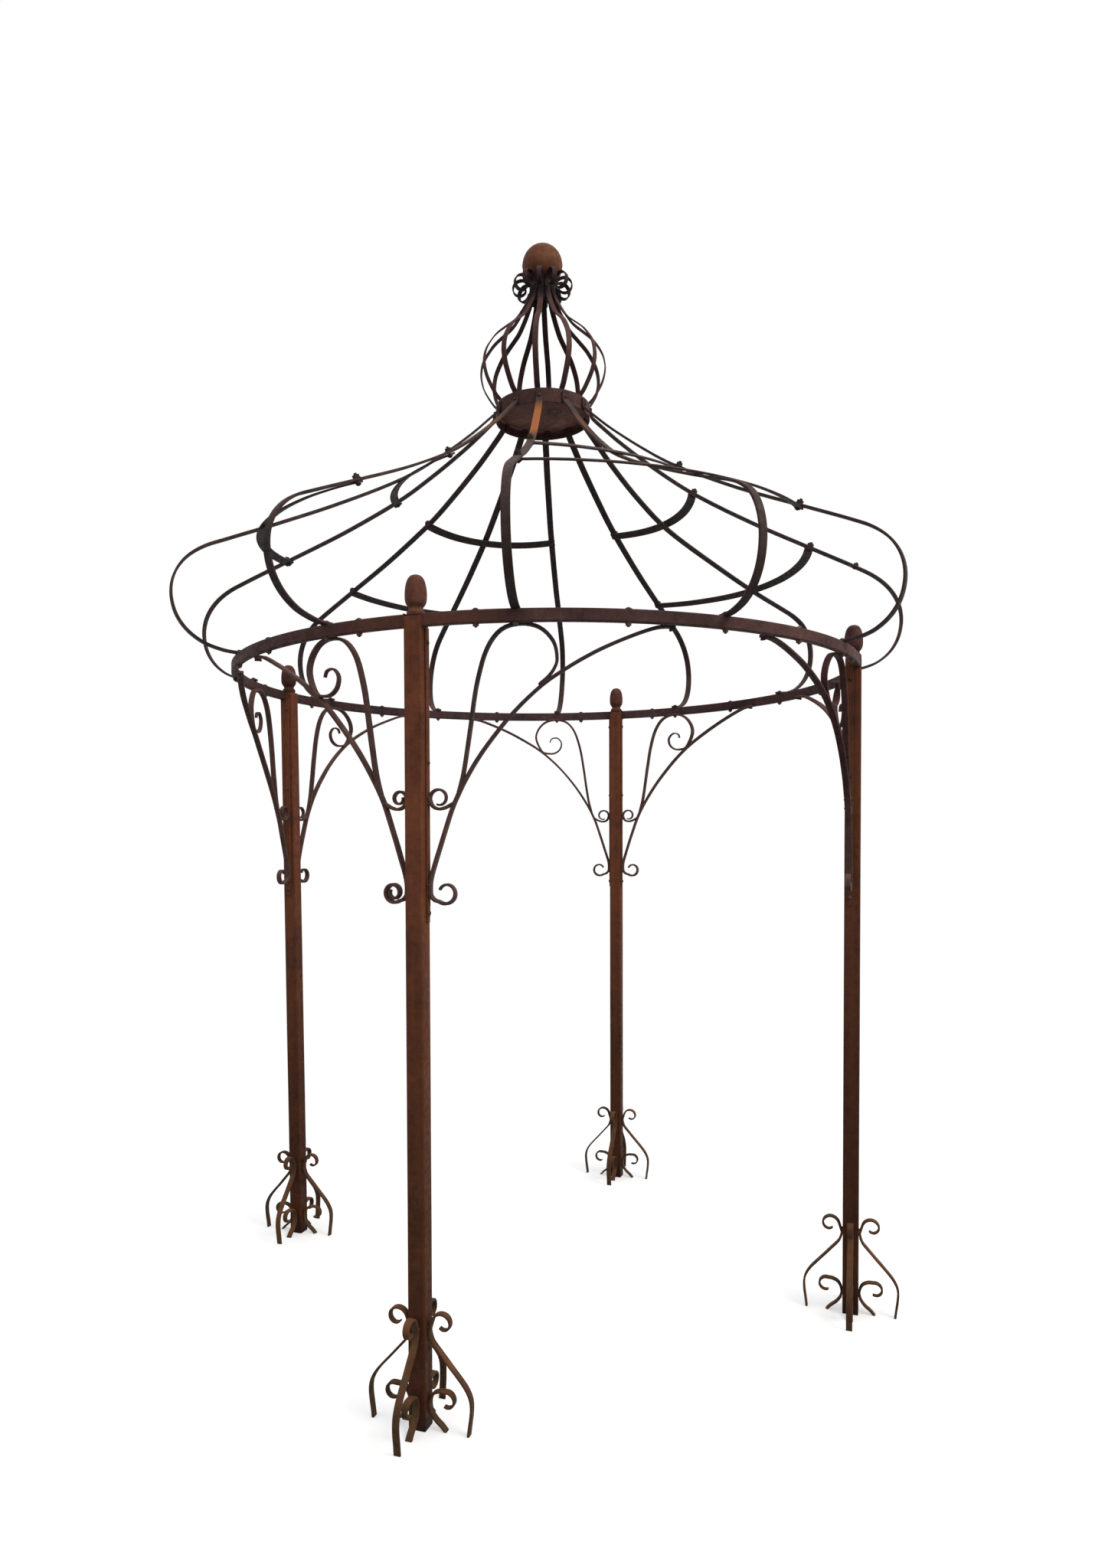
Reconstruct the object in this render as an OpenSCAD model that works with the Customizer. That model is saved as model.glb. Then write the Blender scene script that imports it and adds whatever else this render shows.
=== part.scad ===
// Round garden gazebo in wrought iron: four posts, a ring beam, an open dome of
// flat bars, and an onion-shaped crown. Millimetres, +Z up, the ground at Z = 0.
// The posts stand on the diagonals, so the four open bays face -Y, +X, +Y and -X.

/* [Posts] */
// How far the posts' centres lie inside the ring beam's centre line
post_in = 12; // [0:1:15]
// Side of the square tube
post_w = 51; // [30:1:70]
// Wall of the square tube
post_wall = 2.5; // [1.5:0.5:5]
// Height of the post under its finial
post_h = 2195; // [1900:5:2500]
// Thickness of the plate that closes the post's top
post_cap_t = 3; // [2:0.5:6]
// How far the back left post's foot has moved in, so that it leans
lean_in = 24; // [0:1:40]

/* [Ring beam] */
// Radius of the ring beam's centre line
ring_r = 1098; // [900:1:1410]
// Depth of the ring tube across its wall, measured outwards
ring_d = 20; // [12:1:30]
// Height of the ring tube
ring_h = 35; // [25:1:60]
// Wall of the ring tube
ring_wall = 2.5; // [1.5:0.5:5]
// Height of the ring's top above the post's top
ring_rise = 6; // [0:1:20]

/* [Finials] */
// Width of the acorn
finial_w = 60; // [40:1:90]
// Height of the whole finial
finial_h = 113; // [80:1:160]

/* [Brackets] */
// Width of the bracket bars, measured outwards
bracket_w = 20; // [12:1:30]
// Thickness of the bracket bars
bracket_t = 9; // [5:0.5:12]
// Thickness of the bar that lies against the post
bracket_back_t = 5; // [3:0.5:8]
// How far a bracket reaches along the ring from the post's centre
bracket_reach = 700; // [500:5:740]
// Height of a bracket from its lowest fixing to its top
bracket_drop = 795; // [600:5:900]
// How far a bracket's top laps up the ring's inner face
bracket_lap = 5; // [2:0.5:10]

/* [Roof] */
// Width of the roof ribs
rib_w = 24; // [14:1:32]
// Thickness of the roof ribs
rib_t = 8; // [4:0.5:10]
// How far the eave bulges out beyond the ring
eave_reach = 185; // [120:1:240]
// Height of the bulging eave above the ring
eave_h = 368; // [280:1:450]
// Height from the ring's top to the ribs' upper bolts
roof_h = 943; // [750:1:1150]
// Width of the roof hoops
hoop_w = 31; // [12:1:36]
// Thickness of the roof hoops
hoop_t = 6; // [3:0.5:8]
// How far the lower hoops bow out past a true circle
low_bow = 24; // [0:1:50]
// How far the upper hoops bow out past a true circle
high_bow = 4; // [0:1:30]
// How far the middle of each hoop hangs below its ends
hoop_dip = 14; // [4:1:20]
// How unevenly the ribs are bent: 1 as made, 0 all alike
uneven = 1; // [0:0.1:1.2]

/* [Crown] */
// Outer radius of the collar
collar_r = 172; // [130:1:220]
// Height of the collar
collar_h = 50; // [35:1:80]
// Thickness of the collar band
collar_t = 5; // [3:0.5:8]
// Greatest radius of the onion cage
cage_r = 229; // [200:1:280]
// Height of the cage from the collar's top to the scrolls
cage_h = 434; // [360:1:520]
// Width of the cage bars
cage_w = 20; // [12:1:24]
// Thickness of the cage bars
cage_t = 5; // [3:0.5:6]
// Radius of the cage's neck, to the middle of the bars
cage_neck_r = 44; // [38:1:60]
// Radius of the ball
ball_r = 73; // [68:1:90]

/* [Feet] */
// Width of the foot scrolls
foot_w = 20; // [12:1:26]
// Thickness of the foot scrolls
foot_t = 7; // [4:0.5:10]
// Height of the tall foot scrolls
foot_h = 317; // [240:1:380]
// How far the tall foot scrolls spread from the post's centre
foot_reach = 151; // [110:1:190]

/* [Hidden] */
$fn = 64;
iron = [0.26, 0.16, 0.11];
iron_dark = [0.20, 0.13, 0.10];
rust = [0.40, 0.21, 0.11];
post_circle_r = ring_r - post_in;
ring_top = post_h + ring_rise;
ring_z = ring_top - ring_h;
rib_seat_z = ring_top + rib_t / 2;
rib_top_z = rib_seat_z + roof_h;
rib_top_r = collar_r + rib_t / 2;
collar_z = rib_top_z - 0.38 * collar_h;
collar_top = collar_z + collar_h;
// The cage bars stand inside the band, with their corners against it
cage_foot_r = sqrt(pow(collar_r - collar_t, 2) - pow(cage_w / 2, 2)) - cage_t / 2;
cage_top = collar_top + cage_h;
// The bars stand side by side round the neck, with a little room between them
neck_mid = max(cage_neck_r, cage_w / 2 / tan(15) + cage_t / 2 + 1);
neck_ro = neck_mid - cage_t / 2;
neck_ri = neck_ro - 8;
ball_z = cage_top + 1.09 * ball_r;
neck_top = ball_z - sqrt(ball_r * ball_r - neck_ri * neck_ri);
bay = [-135, -45, 45, 135];

// ---- curves ----
function at(P, i) = P[max(0, min(len(P) - 1, i))];
function blend(a, b, c, d, t) = 0.5 * (2 * b + (c - a) * t + (2 * a - 5 * b + 4 * c - d) * t * t
  + (3 * b - a - 3 * c + d) * t * t * t);
// A smooth line through the points P, with n steps between each two
function smooth(P, n) = [for (i = [0:len(P) - 2]) for (k = [0:n - 1])
  blend(at(P, i - 1), P[i], P[i + 1], at(P, i + 2), k / n), P[len(P) - 1]];
// A spiral round c from angle a0 to a1, its radius going from r0 to r1
function spiral(c, r0, r1, a0, a1, n) = [for (i = [0:n]) let (t = i / n, a = a0 + (a1 - a0) * t)
  c + (r0 + (r1 - r0) * t) * [cos(a), sin(a)]];
function unit(v) = v / norm(v);
function along(Q, i) = unit(at(Q, i + 1) - at(Q, i - 1));
function beside(Q, h) = [for (i = [0:len(Q) - 1]) let (d = along(Q, i)) Q[i] + h * [-d[1], d[0]]];
function turned(Q) = [for (i = [len(Q) - 1:-1:0]) Q[i]];
// The outline of a bar of thickness t bent along the line Q
function strip(Q, t) = concat(beside(Q, t / 2), turned(beside(Q, -t / 2)));

// A flat bar bent along Q, which is a line in the X-Z plane; its width w lies along Y
module bent_bar(Q, t, w) {
  rotate([90, 0, 0]) linear_extrude(height = w, center = true) polygon(strip(Q, t));
}

// ---- posts, finials and feet ----
// A post and what is fixed to it stand at angle a, turned about the post's top so
// that the foot is the distance lean further in
module stand(a, lean) {
  rotate([0, 0, a]) translate([post_circle_r, 0, post_h]) rotate([0, asin(lean / post_h), 0])
    translate([0, 0, -post_h]) children();
}

module under_ground() {
  translate([-2 * ring_r, -2 * ring_r, -50]) cube([4 * ring_r, 4 * ring_r, 50]);
}

module post(a, lean = 0) {
  difference() {
    stand(a, lean) difference() {
      translate([-post_w / 2, -post_w / 2, -5]) cube([post_w, post_w, post_h + 5]);
      translate([-post_w / 2 + post_wall, -post_w / 2 + post_wall, -6])
        cube([post_w - 2 * post_wall, post_w - 2 * post_wall, post_h - post_cap_t + 6]);
    }
    under_ground();
  }
}

module finial(a, lean = 0) {
  k = finial_h / 113;
  w = finial_w / 2;
  egg = 86 * k;
  stand(a, lean) translate([0, 0, post_h]) rotate_extrude() polygon(concat(
    [[0, 0], [0.68 * w, 0], [0.76 * w, 2.5 * k], [0.79 * w, 6.5 * k], [0.76 * w, 10.5 * k],
     [0.66 * w, 13 * k], [0.55 * w, 16 * k], [0.52 * w, 21 * k]],
    [for (i = [2:17]) let (b = 10 * i) [w * sin(b) * (1 + 0.08 * cos(b)), finial_h - egg + egg / 2 * (1 - cos(b))]],
    [[0, finial_h]]));
}

foot_x = post_w / 2 + foot_t / 2;
foot_line = concat(
  spiral([foot_x + 39, 0.922 * foot_h], 14, 31, -130, 165, 18),
  smooth([[foot_x + 3, 0.885 * foot_h], [foot_x, 0.845 * foot_h], [foot_x + 4, 0.79 * foot_h],
    [0.265 * foot_reach, 0.745 * foot_h], [0.40 * foot_reach, 0.672 * foot_h],
    [0.58 * foot_reach, 0.575 * foot_h], [0.745 * foot_reach, 0.49 * foot_h],
    [0.885 * foot_reach, 0.41 * foot_h], [0.97 * foot_reach, 0.335 * foot_h],
    [foot_reach, 0.265 * foot_h], [0.993 * foot_reach, 0.18 * foot_h],
    [0.965 * foot_reach, 0.08 * foot_h], [0.94 * foot_reach, -6]], 2));
toe_line = concat(
  spiral([foot_x + 50, 84], 18, 24, -115, 85, 12),
  smooth([[foot_x + 30, 107], [foot_x + 12, 99], [foot_x + 2, 82], [foot_x, 62], [foot_x + 5, 44],
    [foot_x + 18, 27], [foot_x + 36, 12], [foot_x + 50, -4]], 2));

// A tall scroll and a low one on each side of the post
module feet(a, lean = 0) {
  difference() {
    stand(a, lean) for (q = [0:3]) rotate([0, 0, 90 * q]) {
      bent_bar(foot_line, foot_t, foot_w);
      bent_bar(toe_line, foot_t, foot_w);
    }
    under_ground();
  }
}

// ---- ring beam ----
module post_space(a) {
  rotate([0, 0, a]) translate([post_circle_r - post_w / 2, -post_w / 2, -1])
    cube([post_w, post_w, ring_top + 50]);
}

module ring_part(k) {
  difference() {
    rotate([0, 0, bay[k]]) rotate_extrude(angle = 90, $fn = 180) difference() {
      translate([ring_r - ring_d / 2, ring_z]) square([ring_d, ring_h]);
      translate([ring_r - ring_d / 2 + ring_wall, ring_z + ring_wall])
        square([ring_d - 2 * ring_wall, ring_h - 2 * ring_wall]);
    }
    post_space(bay[k]);
    post_space(bay[k] + 90);
  }
}

// ---- brackets ----
// The brackets stand against the ring's inner face and the posts' sides
bracket_r = ring_r - ring_d / 2 - bracket_w / 2;
bracket_top = ring_z + bracket_lap;
// A bracket's lines are drawn flat, as distance along the ring and height; u and
// v give them as parts of the bracket's reach and drop
function bk(u, v) = [u * bracket_reach / 1000, bracket_top - v * bracket_drop / 1000];
bk_hug = post_w / 2 + bracket_back_t + bracket_t / 2 - 0.5;
bk_under = 1000 * (bracket_t / 2) / bracket_drop;
sweep_end = [bk_hug, bk(0, 897)[1]];
// A tight coil, whose turns lie just clear of each other
function coil(c, r, a0, a1, n) = spiral(c, r, r - 1.25 * bracket_t * abs(a1 - a0) / 360, a0, a1, n);
sweep_bend = smooth([bk(1000, bk_under), bk(929, 12), bk(829, 43), bk(714, 87), bk(600, 142),
    bk(491, 206), bk(380, 297), bk(278, 405), bk(204, 503), bk(150, 594), bk(109, 694), bk(75, 786),
    bk(52, 853), sweep_end, sweep_end + [4, -12], sweep_end + [14, -21]], 2);
sweep_line = concat(sweep_bend, spiral(sweep_end + [45, -1], 30, 20, 232, 515, 15));
loop_points = [bk(166, 562), bk(186, 495), bk(204, 400), bk(221, 299), bk(243, 185), bk(279, 84),
  bk(333, 24), bk(407, bk_under), bk(479, 20), bk(529, 65), bk(543, 121)];
loop_line = smooth(concat(loop_points, [bk(503, 192), bk(460, 206), bk(416, 204), bk(381, 180),
  bk(372, 142), bk(400, 114), bk(437, 118), bk(449, 140)]), 2);
// One loop has lost its inner scroll and ends on the sweep
short_line = smooth(concat(loop_points, [bk(532, 154), bk(507, 183), bk(478, 205)]), 2);
curl_top = [bk_hug, bk(0, 584)[1]];
curl_bend = smooth([bk(145, 596), bk(117, 609), bk(87, 615), bk(61, 606), curl_top], 2);
curl_line = concat(curl_bend, spiral(curl_top + [26, 4], 26, 17, 178, -110, 14));
// One bracket's lower scrolls were wound up tighter than the others'
tight_sweep = concat(sweep_bend, coil(sweep_end + [41, -1], 28, 232, 752, 26));
tight_curl = concat(curl_bend, coil(curl_top + [22, 4], 22, 178, -200, 19));

// The flat lines are bent round the ring: each point moves to its place on the
// view straight in at the bracket's middle
bk_mid = bracket_reach / bracket_r * 90 / PI;
function bend(Q) = [for (p = Q) [bracket_r * sin(p[0] / bracket_r * 180 / PI - bk_mid), p[1]]];

module bracket(a, side, loop, sweep = sweep_line, curl = curl_line) {
  rotate([0, 0, a]) mirror([0, side < 0 ? 1 : 0, 0]) {
    difference() {
      intersection() {
        difference() {
          cylinder(r = bracket_r + bracket_w / 2, h = bracket_top + 5, $fn = 180);
          translate([0, 0, -1]) cylinder(r = bracket_r - bracket_w / 2, h = bracket_top + 10, $fn = 180);
        }
        rotate([0, 0, bk_mid]) translate([ring_r + 60, 0, 0]) rotate([90, 0, -90])
          mirror([1, 0, 0]) linear_extrude(height = 200) union() {
            polygon(strip(bend(sweep), bracket_t));
            polygon(strip(bend(loop), bracket_t));
            polygon(strip(bend(curl), bracket_t));
          }
      }
      translate([post_circle_r - post_w, -post_w / 2, 0]) cube([2 * post_w, post_w, ring_top]);
    }
    translate([bracket_r - bracket_w / 2, post_w / 2, bracket_top - bracket_drop])
      cube([bracket_w, bracket_back_t, bracket_drop - bracket_lap]);
  }
}

// ---- roof ----
// The ribs were bent by hand. For each of the twelve, counted from the front's
// first one: how far its eave reaches out more than the others, how far the eave
// swings sideways, how far its slope hangs lower, and how many degrees its seat is off
rib_more = uneven * [0, -25, 0, 0, -12, 0, 0, 0, 0, 4, 22, 15];
rib_swing = uneven * [-6, -4, 0, 0, 12, 20, -19, -32, 0, 0, 0, -14];
rib_sag = uneven * [0, 31, 0, 0, 46, 0, 0, 4, 0, 0, 11, 0];
rib_turn = uneven * [-0.5, 0, 0, 0, 0, 0, 0, 0, 0, 0, 0, -0.25];
function eave(a, b, m) = [ring_r + a * (eave_reach + m), rib_seat_z + b * eave_h];
function slope(a, b, g) = [rib_top_r + a * (ring_r - rib_top_r), rib_top_z - b * roof_h - g];
function rib_points(i) = let (m = rib_more[i], g = rib_sag[i])
  [[ring_r - 14, rib_seat_z], [ring_r + 12, rib_seat_z], eave(0.28, 0.018, m), eave(0.55, 0.07, m),
  eave(0.79, 0.172, m), eave(0.945, 0.31, m), eave(1, 0.48, m), eave(0.94, 0.64, m),
  eave(0.77, 0.782, m), eave(0.50, 0.90, m) - [0, 0.2 * g], eave(0.12, 1, m) - [0, 0.4 * g],
  slope(0.85, 0.532, 0.7 * g), slope(0.623, 0.43, 0.8 * g), slope(0.40, 0.314, g),
  slope(0.255, 0.218, 0.85 * g), slope(0.125, 0.119, 0.45 * g), slope(0.045, 0.050, 0.1 * g),
  [rib_top_r + 7, rib_top_z - 14], [rib_top_r, rib_top_z], [rib_top_r, rib_top_z + 0.4 * collar_h]];
low_joint = 11;
high_joint = 13;
// A rib swings about the line from its seat to its top
rib_chord = unit([rib_top_r - ring_r, rib_top_z - rib_seat_z]);
function off_chord(P) = (P[0] - ring_r) * rib_chord[1] - (P[1] - rib_seat_z) * rib_chord[0];
function rib_lean(i) = asin(rib_swing[i] / off_chord(eave(1, 0.48, 0)));
// How far a rib's joint has moved round the roof
function joint_shift(i, j) = let (P = rib_points(i)[j])
  off_chord(P) * sin(rib_lean(i)) + P[0] * sin(rib_turn[i]);

module rib(k, n) {
  i = 3 * k + n;
  rotate([0, 0, bay[k] + 15 + 30 * n + rib_turn[i]]) difference() {
    translate([ring_r, 0, rib_seat_z]) rotate(a = rib_lean(i), v = [rib_chord[0], 0, rib_chord[1]])
      translate([-ring_r, 0, -rib_seat_z]) bent_bar(smooth(rib_points(i), 3), rib_t, rib_w);
    if (rib_lean(i) != 0) {
      translate([ring_r - 60, -30, ring_top - 20]) cube([120, 60, 20]);
      cylinder(r = collar_r, h = rib_top_z + collar_h, $fn = 120);
    }
  }
}

// A hoop lies under the first and last rib of a side at one of their joints. It
// bows out and hangs a little lower over its middle, so it is an arc of radius R in
// a plane tipped by the angle tip. Its width lies along the ribs' slope
module hoop(j, k, bow) {
  P = rib_points(3 * k);
  s = unit(P[j + 1] - P[j - 1]);
  half = P[j][0] * sin(30);
  out = P[j][0] * (1 - cos(30)) + bow;
  tip = atan(hoop_dip / out);
  rise = norm([out, hoop_dip]);
  R = (half * half + rise * rise) / (2 * rise);
  th = asin(half / R);
  // The rib's slope and the bar's own direction where they cross
  S = [s[0] * cos(30), -s[0] * sin(30), s[1]];
  N = [-s[1] * cos(30), s[1] * sin(30), s[0]];
  E = [cos(th) * cos(tip), -sin(th), -cos(th) * sin(tip)];
  Z = [sin(tip), 0, cos(tip)];
  run = [sin(th) * cos(tip), cos(th), -sin(th) * sin(tip)];
  d = unit([S * E, S * Z]);
  n = [-d[1], d[0]];
  skew = abs(run * N) * rib_w / 2 + abs((d[0] * E + d[1] * Z) * N) * hoop_w / 2;
  c = [R, 0] + n * ((rib_t + hoop_t) / 2 + skew + 0.2);
  over_a = asin((rib_w / 2 - joint_shift(3 * k, j)) / R);
  over_c = asin((rib_w / 2 + joint_shift(3 * k + 2, j)) / R);
  rotate([0, 0, bay[k] + 45]) translate([P[j][0] * cos(30), 0, P[j][1]]) rotate([0, tip, 0])
    translate([rise - R, 0, 0]) rotate([0, 0, -th - over_a])
      rotate_extrude(angle = 2 * th + over_a + over_c, $fn = 120)
        polygon([c - d * hoop_w / 2 - n * hoop_t / 2, c + d * hoop_w / 2 - n * hoop_t / 2,
          c + d * hoop_w / 2 + n * hoop_t / 2, c - d * hoop_w / 2 + n * hoop_t / 2]);
}

// The lower hoop is bowed further out on the right and left sides
bow_more = uneven * [0, 12, 0, 32];

module hoops(k) {
  hoop(low_joint, k, low_bow + bow_more[k]);
  hoop(high_joint, k, high_bow);
}

// ---- crown ----
module band() {
  translate([0, 0, collar_z]) difference() {
    cylinder(r = collar_r, h = collar_h, $fn = 120);
    translate([0, 0, -1]) cylinder(r = collar_r - collar_t, h = collar_h + 2, $fn = 120);
  }
}

module plate() {
  translate([0, 0, collar_z + 0.62 * collar_h]) cylinder(r = cage_foot_r - cage_t / 2, h = 4, $fn = 120);
}

function cg(r, v) = [r, collar_top + v * cage_h];
cage_line = concat(smooth([[cage_foot_r, collar_z + 4], [cage_foot_r, collar_top - 6],
    [cage_foot_r + 4, collar_top + 6], cg(cage_foot_r + 0.27 * (cage_r - cage_foot_r), 0.045),
    cg(cage_foot_r + 0.60 * (cage_r - cage_foot_r), 0.12), cg(cage_foot_r + 0.85 * (cage_r - cage_foot_r), 0.195),
    cg(0.995 * cage_r, 0.285), cg(0.985 * cage_r, 0.36), cg(0.945 * cage_r, 0.425), cg(0.87 * cage_r, 0.49),
    cg(0.775 * cage_r, 0.553), cg(0.64 * cage_r, 0.615), cg(0.535 * cage_r, 0.66), cg(0.459 * cage_r, 0.70),
    cg(0.355 * cage_r, 0.78), cg(0.27 * cage_r, 0.86), [neck_mid + 5, collar_top + 0.935 * cage_h],
    [neck_mid, cage_top - 10]], 2),
  spiral([neck_mid + 36, cage_top], 36, 20, 172, -170, 18));

// The cage is turned a little on the band
cage_turn = -3;

module cage() {
  for (i = [0:11]) rotate([0, 0, 30 * i + cage_turn]) bent_bar(cage_line, cage_t, cage_w);
}

module neck() {
  translate([0, 0, cage_top - 24]) difference() {
    cylinder(r = neck_ro, h = neck_top - cage_top + 24);
    translate([0, 0, -1]) cylinder(r = neck_ri, h = neck_top - cage_top + 26);
  }
}

module ball() {
  translate([0, 0, ball_z]) difference() {
    sphere(r = ball_r);
    sphere(r = ball_r - 3);
  }
}

module post_front_left() { color(iron) post(bay[0]); }
module post_front_right() { color(iron) post(bay[1]); }
module post_back_right() { color(iron) post(bay[2]); }
module post_back_left() { color(iron) post(bay[3], lean_in); }
module finial_front_left() { color(rust) finial(bay[0]); }
module finial_front_right() { color(rust) finial(bay[1]); }
module finial_back_right() { color(rust) finial(bay[2]); }
module finial_back_left() { color(rust) finial(bay[3], lean_in); }
module feet_front_left() { color(iron_dark) feet(bay[0]); }
module feet_front_right() { color(iron_dark) feet(bay[1]); }
module feet_back_right() { color(iron_dark) feet(bay[2]); }
module feet_back_left() { color(iron_dark) feet(bay[3], lean_in); }
module ring_front() { color(iron) ring_part(0); }
module ring_right() { color(iron) ring_part(1); }
module ring_back() { color(iron) ring_part(2); }
module ring_left() { color(iron) ring_part(3); }
module bracket_front_a() { color(iron_dark) bracket(bay[0], 1, short_line); }
module bracket_front_b() { color(iron_dark) bracket(bay[1], -1, loop_line); }
module bracket_right_a() { color(iron_dark) bracket(bay[1], 1, loop_line); }
module bracket_right_b() { color(iron_dark) bracket(bay[2], -1, loop_line); }
module bracket_back_a() { color(iron_dark) bracket(bay[2], 1, loop_line); }
module bracket_back_b() { color(iron_dark) bracket(bay[3], -1, loop_line); }
module bracket_left_a() { color(iron_dark) bracket(bay[3], 1, loop_line); }
module bracket_left_b() { color(iron_dark) bracket(bay[0], -1, loop_line, tight_sweep, tight_curl); }
module rib_front_a() { color(iron) rib(0, 0); }
module rib_front_b() { color(iron) rib(0, 1); }
module rib_front_c() { color(iron) rib(0, 2); }
module rib_right_a() { color(iron) rib(1, 0); }
module rib_right_b() { color(iron) rib(1, 1); }
module rib_right_c() { color(iron) rib(1, 2); }
module rib_back_a() { color(iron) rib(2, 0); }
module rib_back_b() { color(iron) rib(2, 1); }
module rib_back_c() { color(iron) rib(2, 2); }
module rib_left_a() { color(iron) rib(3, 0); }
module rib_left_b() { color(iron) rib(3, 1); }
module rib_left_c() { color(iron) rib(3, 2); }
module hoops_front() { color(iron_dark) hoops(0); }
module hoops_right() { color(iron_dark) hoops(1); }
module hoops_back() { color(iron_dark) hoops(2); }
module hoops_left() { color(iron_dark) hoops(3); }
module collar_band() { color(iron) band(); }
module collar_plate() { color(iron_dark) plate(); }
module cage_bars() { color(iron) cage(); }
module crown_neck() { color(iron_dark) neck(); }
module crown_ball() { color(rust) ball(); }

post_front_left();
post_front_right();
post_back_right();
post_back_left();
finial_front_left();
finial_front_right();
finial_back_right();
finial_back_left();
feet_front_left();
feet_front_right();
feet_back_right();
feet_back_left();
ring_front();
ring_right();
ring_back();
ring_left();
bracket_front_a();
bracket_front_b();
bracket_right_a();
bracket_right_b();
bracket_back_a();
bracket_back_b();
bracket_left_a();
bracket_left_b();
rib_front_a();
rib_front_b();
rib_front_c();
rib_right_a();
rib_right_b();
rib_right_c();
rib_back_a();
rib_back_b();
rib_back_c();
rib_left_a();
rib_left_b();
rib_left_c();
hoops_front();
hoops_right();
hoops_back();
hoops_left();
collar_band();
collar_plate();
cage_bars();
crown_neck();
crown_ball();
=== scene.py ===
# %% [markdown]
# # A wrought iron gazebo, dressed in Blender
# The solids of the gazebo are already made and packed as a fixed frame. This lesson
# loads them, makes the forged bars again with softer corners and a hand-made wander,
# adds the bolts, nuts and weld beads, and gives every surface its rust, with painted
# shade and painted light in places.
# Everything is in metres, with +Z up and the four posts on the diagonals.

# %% Load the frame
import math
import bpy
import bmesh
import numpy as np
from mathutils import Matrix, Vector


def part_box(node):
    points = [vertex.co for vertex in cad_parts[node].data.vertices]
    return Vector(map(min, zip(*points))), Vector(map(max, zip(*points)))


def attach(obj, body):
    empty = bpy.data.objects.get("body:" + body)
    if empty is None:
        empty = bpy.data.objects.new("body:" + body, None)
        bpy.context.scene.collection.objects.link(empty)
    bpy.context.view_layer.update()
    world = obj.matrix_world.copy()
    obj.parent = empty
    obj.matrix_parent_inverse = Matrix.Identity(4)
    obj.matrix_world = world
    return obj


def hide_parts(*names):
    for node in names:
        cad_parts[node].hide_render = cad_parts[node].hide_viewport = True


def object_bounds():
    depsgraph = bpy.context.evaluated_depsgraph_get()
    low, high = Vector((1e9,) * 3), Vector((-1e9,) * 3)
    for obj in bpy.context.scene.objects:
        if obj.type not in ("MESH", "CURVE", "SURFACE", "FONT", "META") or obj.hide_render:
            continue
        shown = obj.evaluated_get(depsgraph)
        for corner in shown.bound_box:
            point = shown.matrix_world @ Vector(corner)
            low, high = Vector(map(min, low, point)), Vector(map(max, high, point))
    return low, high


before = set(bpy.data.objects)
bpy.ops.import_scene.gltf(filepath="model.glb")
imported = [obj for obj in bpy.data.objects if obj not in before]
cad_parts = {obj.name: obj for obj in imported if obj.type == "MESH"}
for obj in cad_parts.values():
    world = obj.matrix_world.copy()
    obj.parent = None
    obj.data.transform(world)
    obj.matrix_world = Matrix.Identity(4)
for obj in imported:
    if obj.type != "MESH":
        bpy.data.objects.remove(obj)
cad_low, cad_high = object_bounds()
scene = bpy.context.scene
print("frame:", len(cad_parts), "nodes, box", [round(v, 3) for v in cad_high - cad_low])

# %% [markdown]
# ## The camera
# A visitor stands a few steps outside the gazebo, a little to the left of its front,
# with the eye at 1.6 m, and looks almost level. A wide lens takes in the ball on top,
# so the roof is seen from below. The lens is shifted a little instead of tilted,
# because a tilt would make the four posts lean together.

# %% Camera
eye = Vector((-1.680, -3.340, 1.600))
heading = math.radians(-26.7)
yaw, pitch, roll = (math.radians(a) for a in (-1.3718, 1.4725, -0.2043))
focal_length, film_side = 23.154, 36
shift_right, shift_up = 0.02077, 0.05183

def placed(name, data):
    # A new object at the origin, in the scene
    thing = bpy.data.objects.new(name, data)
    scene.collection.objects.link(thing)
    return thing

def turned(v, a):
    # A vector turned about the vertical
    return Vector((v[0] * math.cos(a) - v[1] * math.sin(a),
                   v[0] * math.sin(a) + v[1] * math.cos(a), v[2]))

level_right = Vector((math.cos(yaw), -math.sin(yaw), 0))
level_up = Vector((math.sin(yaw) * math.sin(pitch), math.cos(yaw) * math.sin(pitch), math.cos(pitch)))
right = turned(level_right * math.cos(roll) + level_up * math.sin(roll), heading)
up = turned(level_up * math.cos(roll) - level_right * math.sin(roll), heading)
look = up.cross(right)
lens = bpy.data.cameras.new("visitor")
lens.sensor_fit = "VERTICAL"
lens.sensor_width = lens.sensor_height = film_side
lens.lens = focal_length
lens.shift_x, lens.shift_y = shift_right, shift_up
camera = placed("visitor", lens)
camera.matrix_world = Matrix(((right.x, up.x, -look.x, eye.x), (right.y, up.y, -look.y, eye.y),
                              (right.z, up.z, -look.z, eye.z), (0, 0, 0, 1)))
scene.camera = camera
print("camera at", [round(v, 2) for v in camera.matrix_world.translation])

# %% [markdown]
# ## Small helpers for node trees
# The light, the rust and the geometry are all node trees, and each tree repeats a few
# moves: make a node, set its values, link it on. These helpers do the moves, so that
# the trees below read as what they make.

# %% Node helpers
def blank(holder):
    # The empty node tree of a world or a material
    holder.use_nodes = True
    holder.node_tree.nodes.clear()
    return holder.node_tree

def node(tree, kind, **values):
    # A node with its settings, or the inputs of these names, set
    n = tree.nodes.new(kind)
    for key, value in values.items():
        if hasattr(n, key):
            setattr(n, key, value)
        else:
            n.inputs[key.replace("_", " ")].default_value = value
    return n

def wire(tree, *links):
    # links: (an output, or a node for its first output, the node it goes to, which input)
    for source, target, which in links:
        source = source if hasattr(source, "links") else source.outputs[0]
        tree.links.new(source, target.inputs[which])

def feed(tree, target, value):
    # Links an output to an input, or sets the input to a number, place or colour
    if hasattr(value, "links"):
        tree.links.new(value, target)
    else:
        target.default_value = (*value, 1) if target.type == "RGBA" else value

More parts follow.
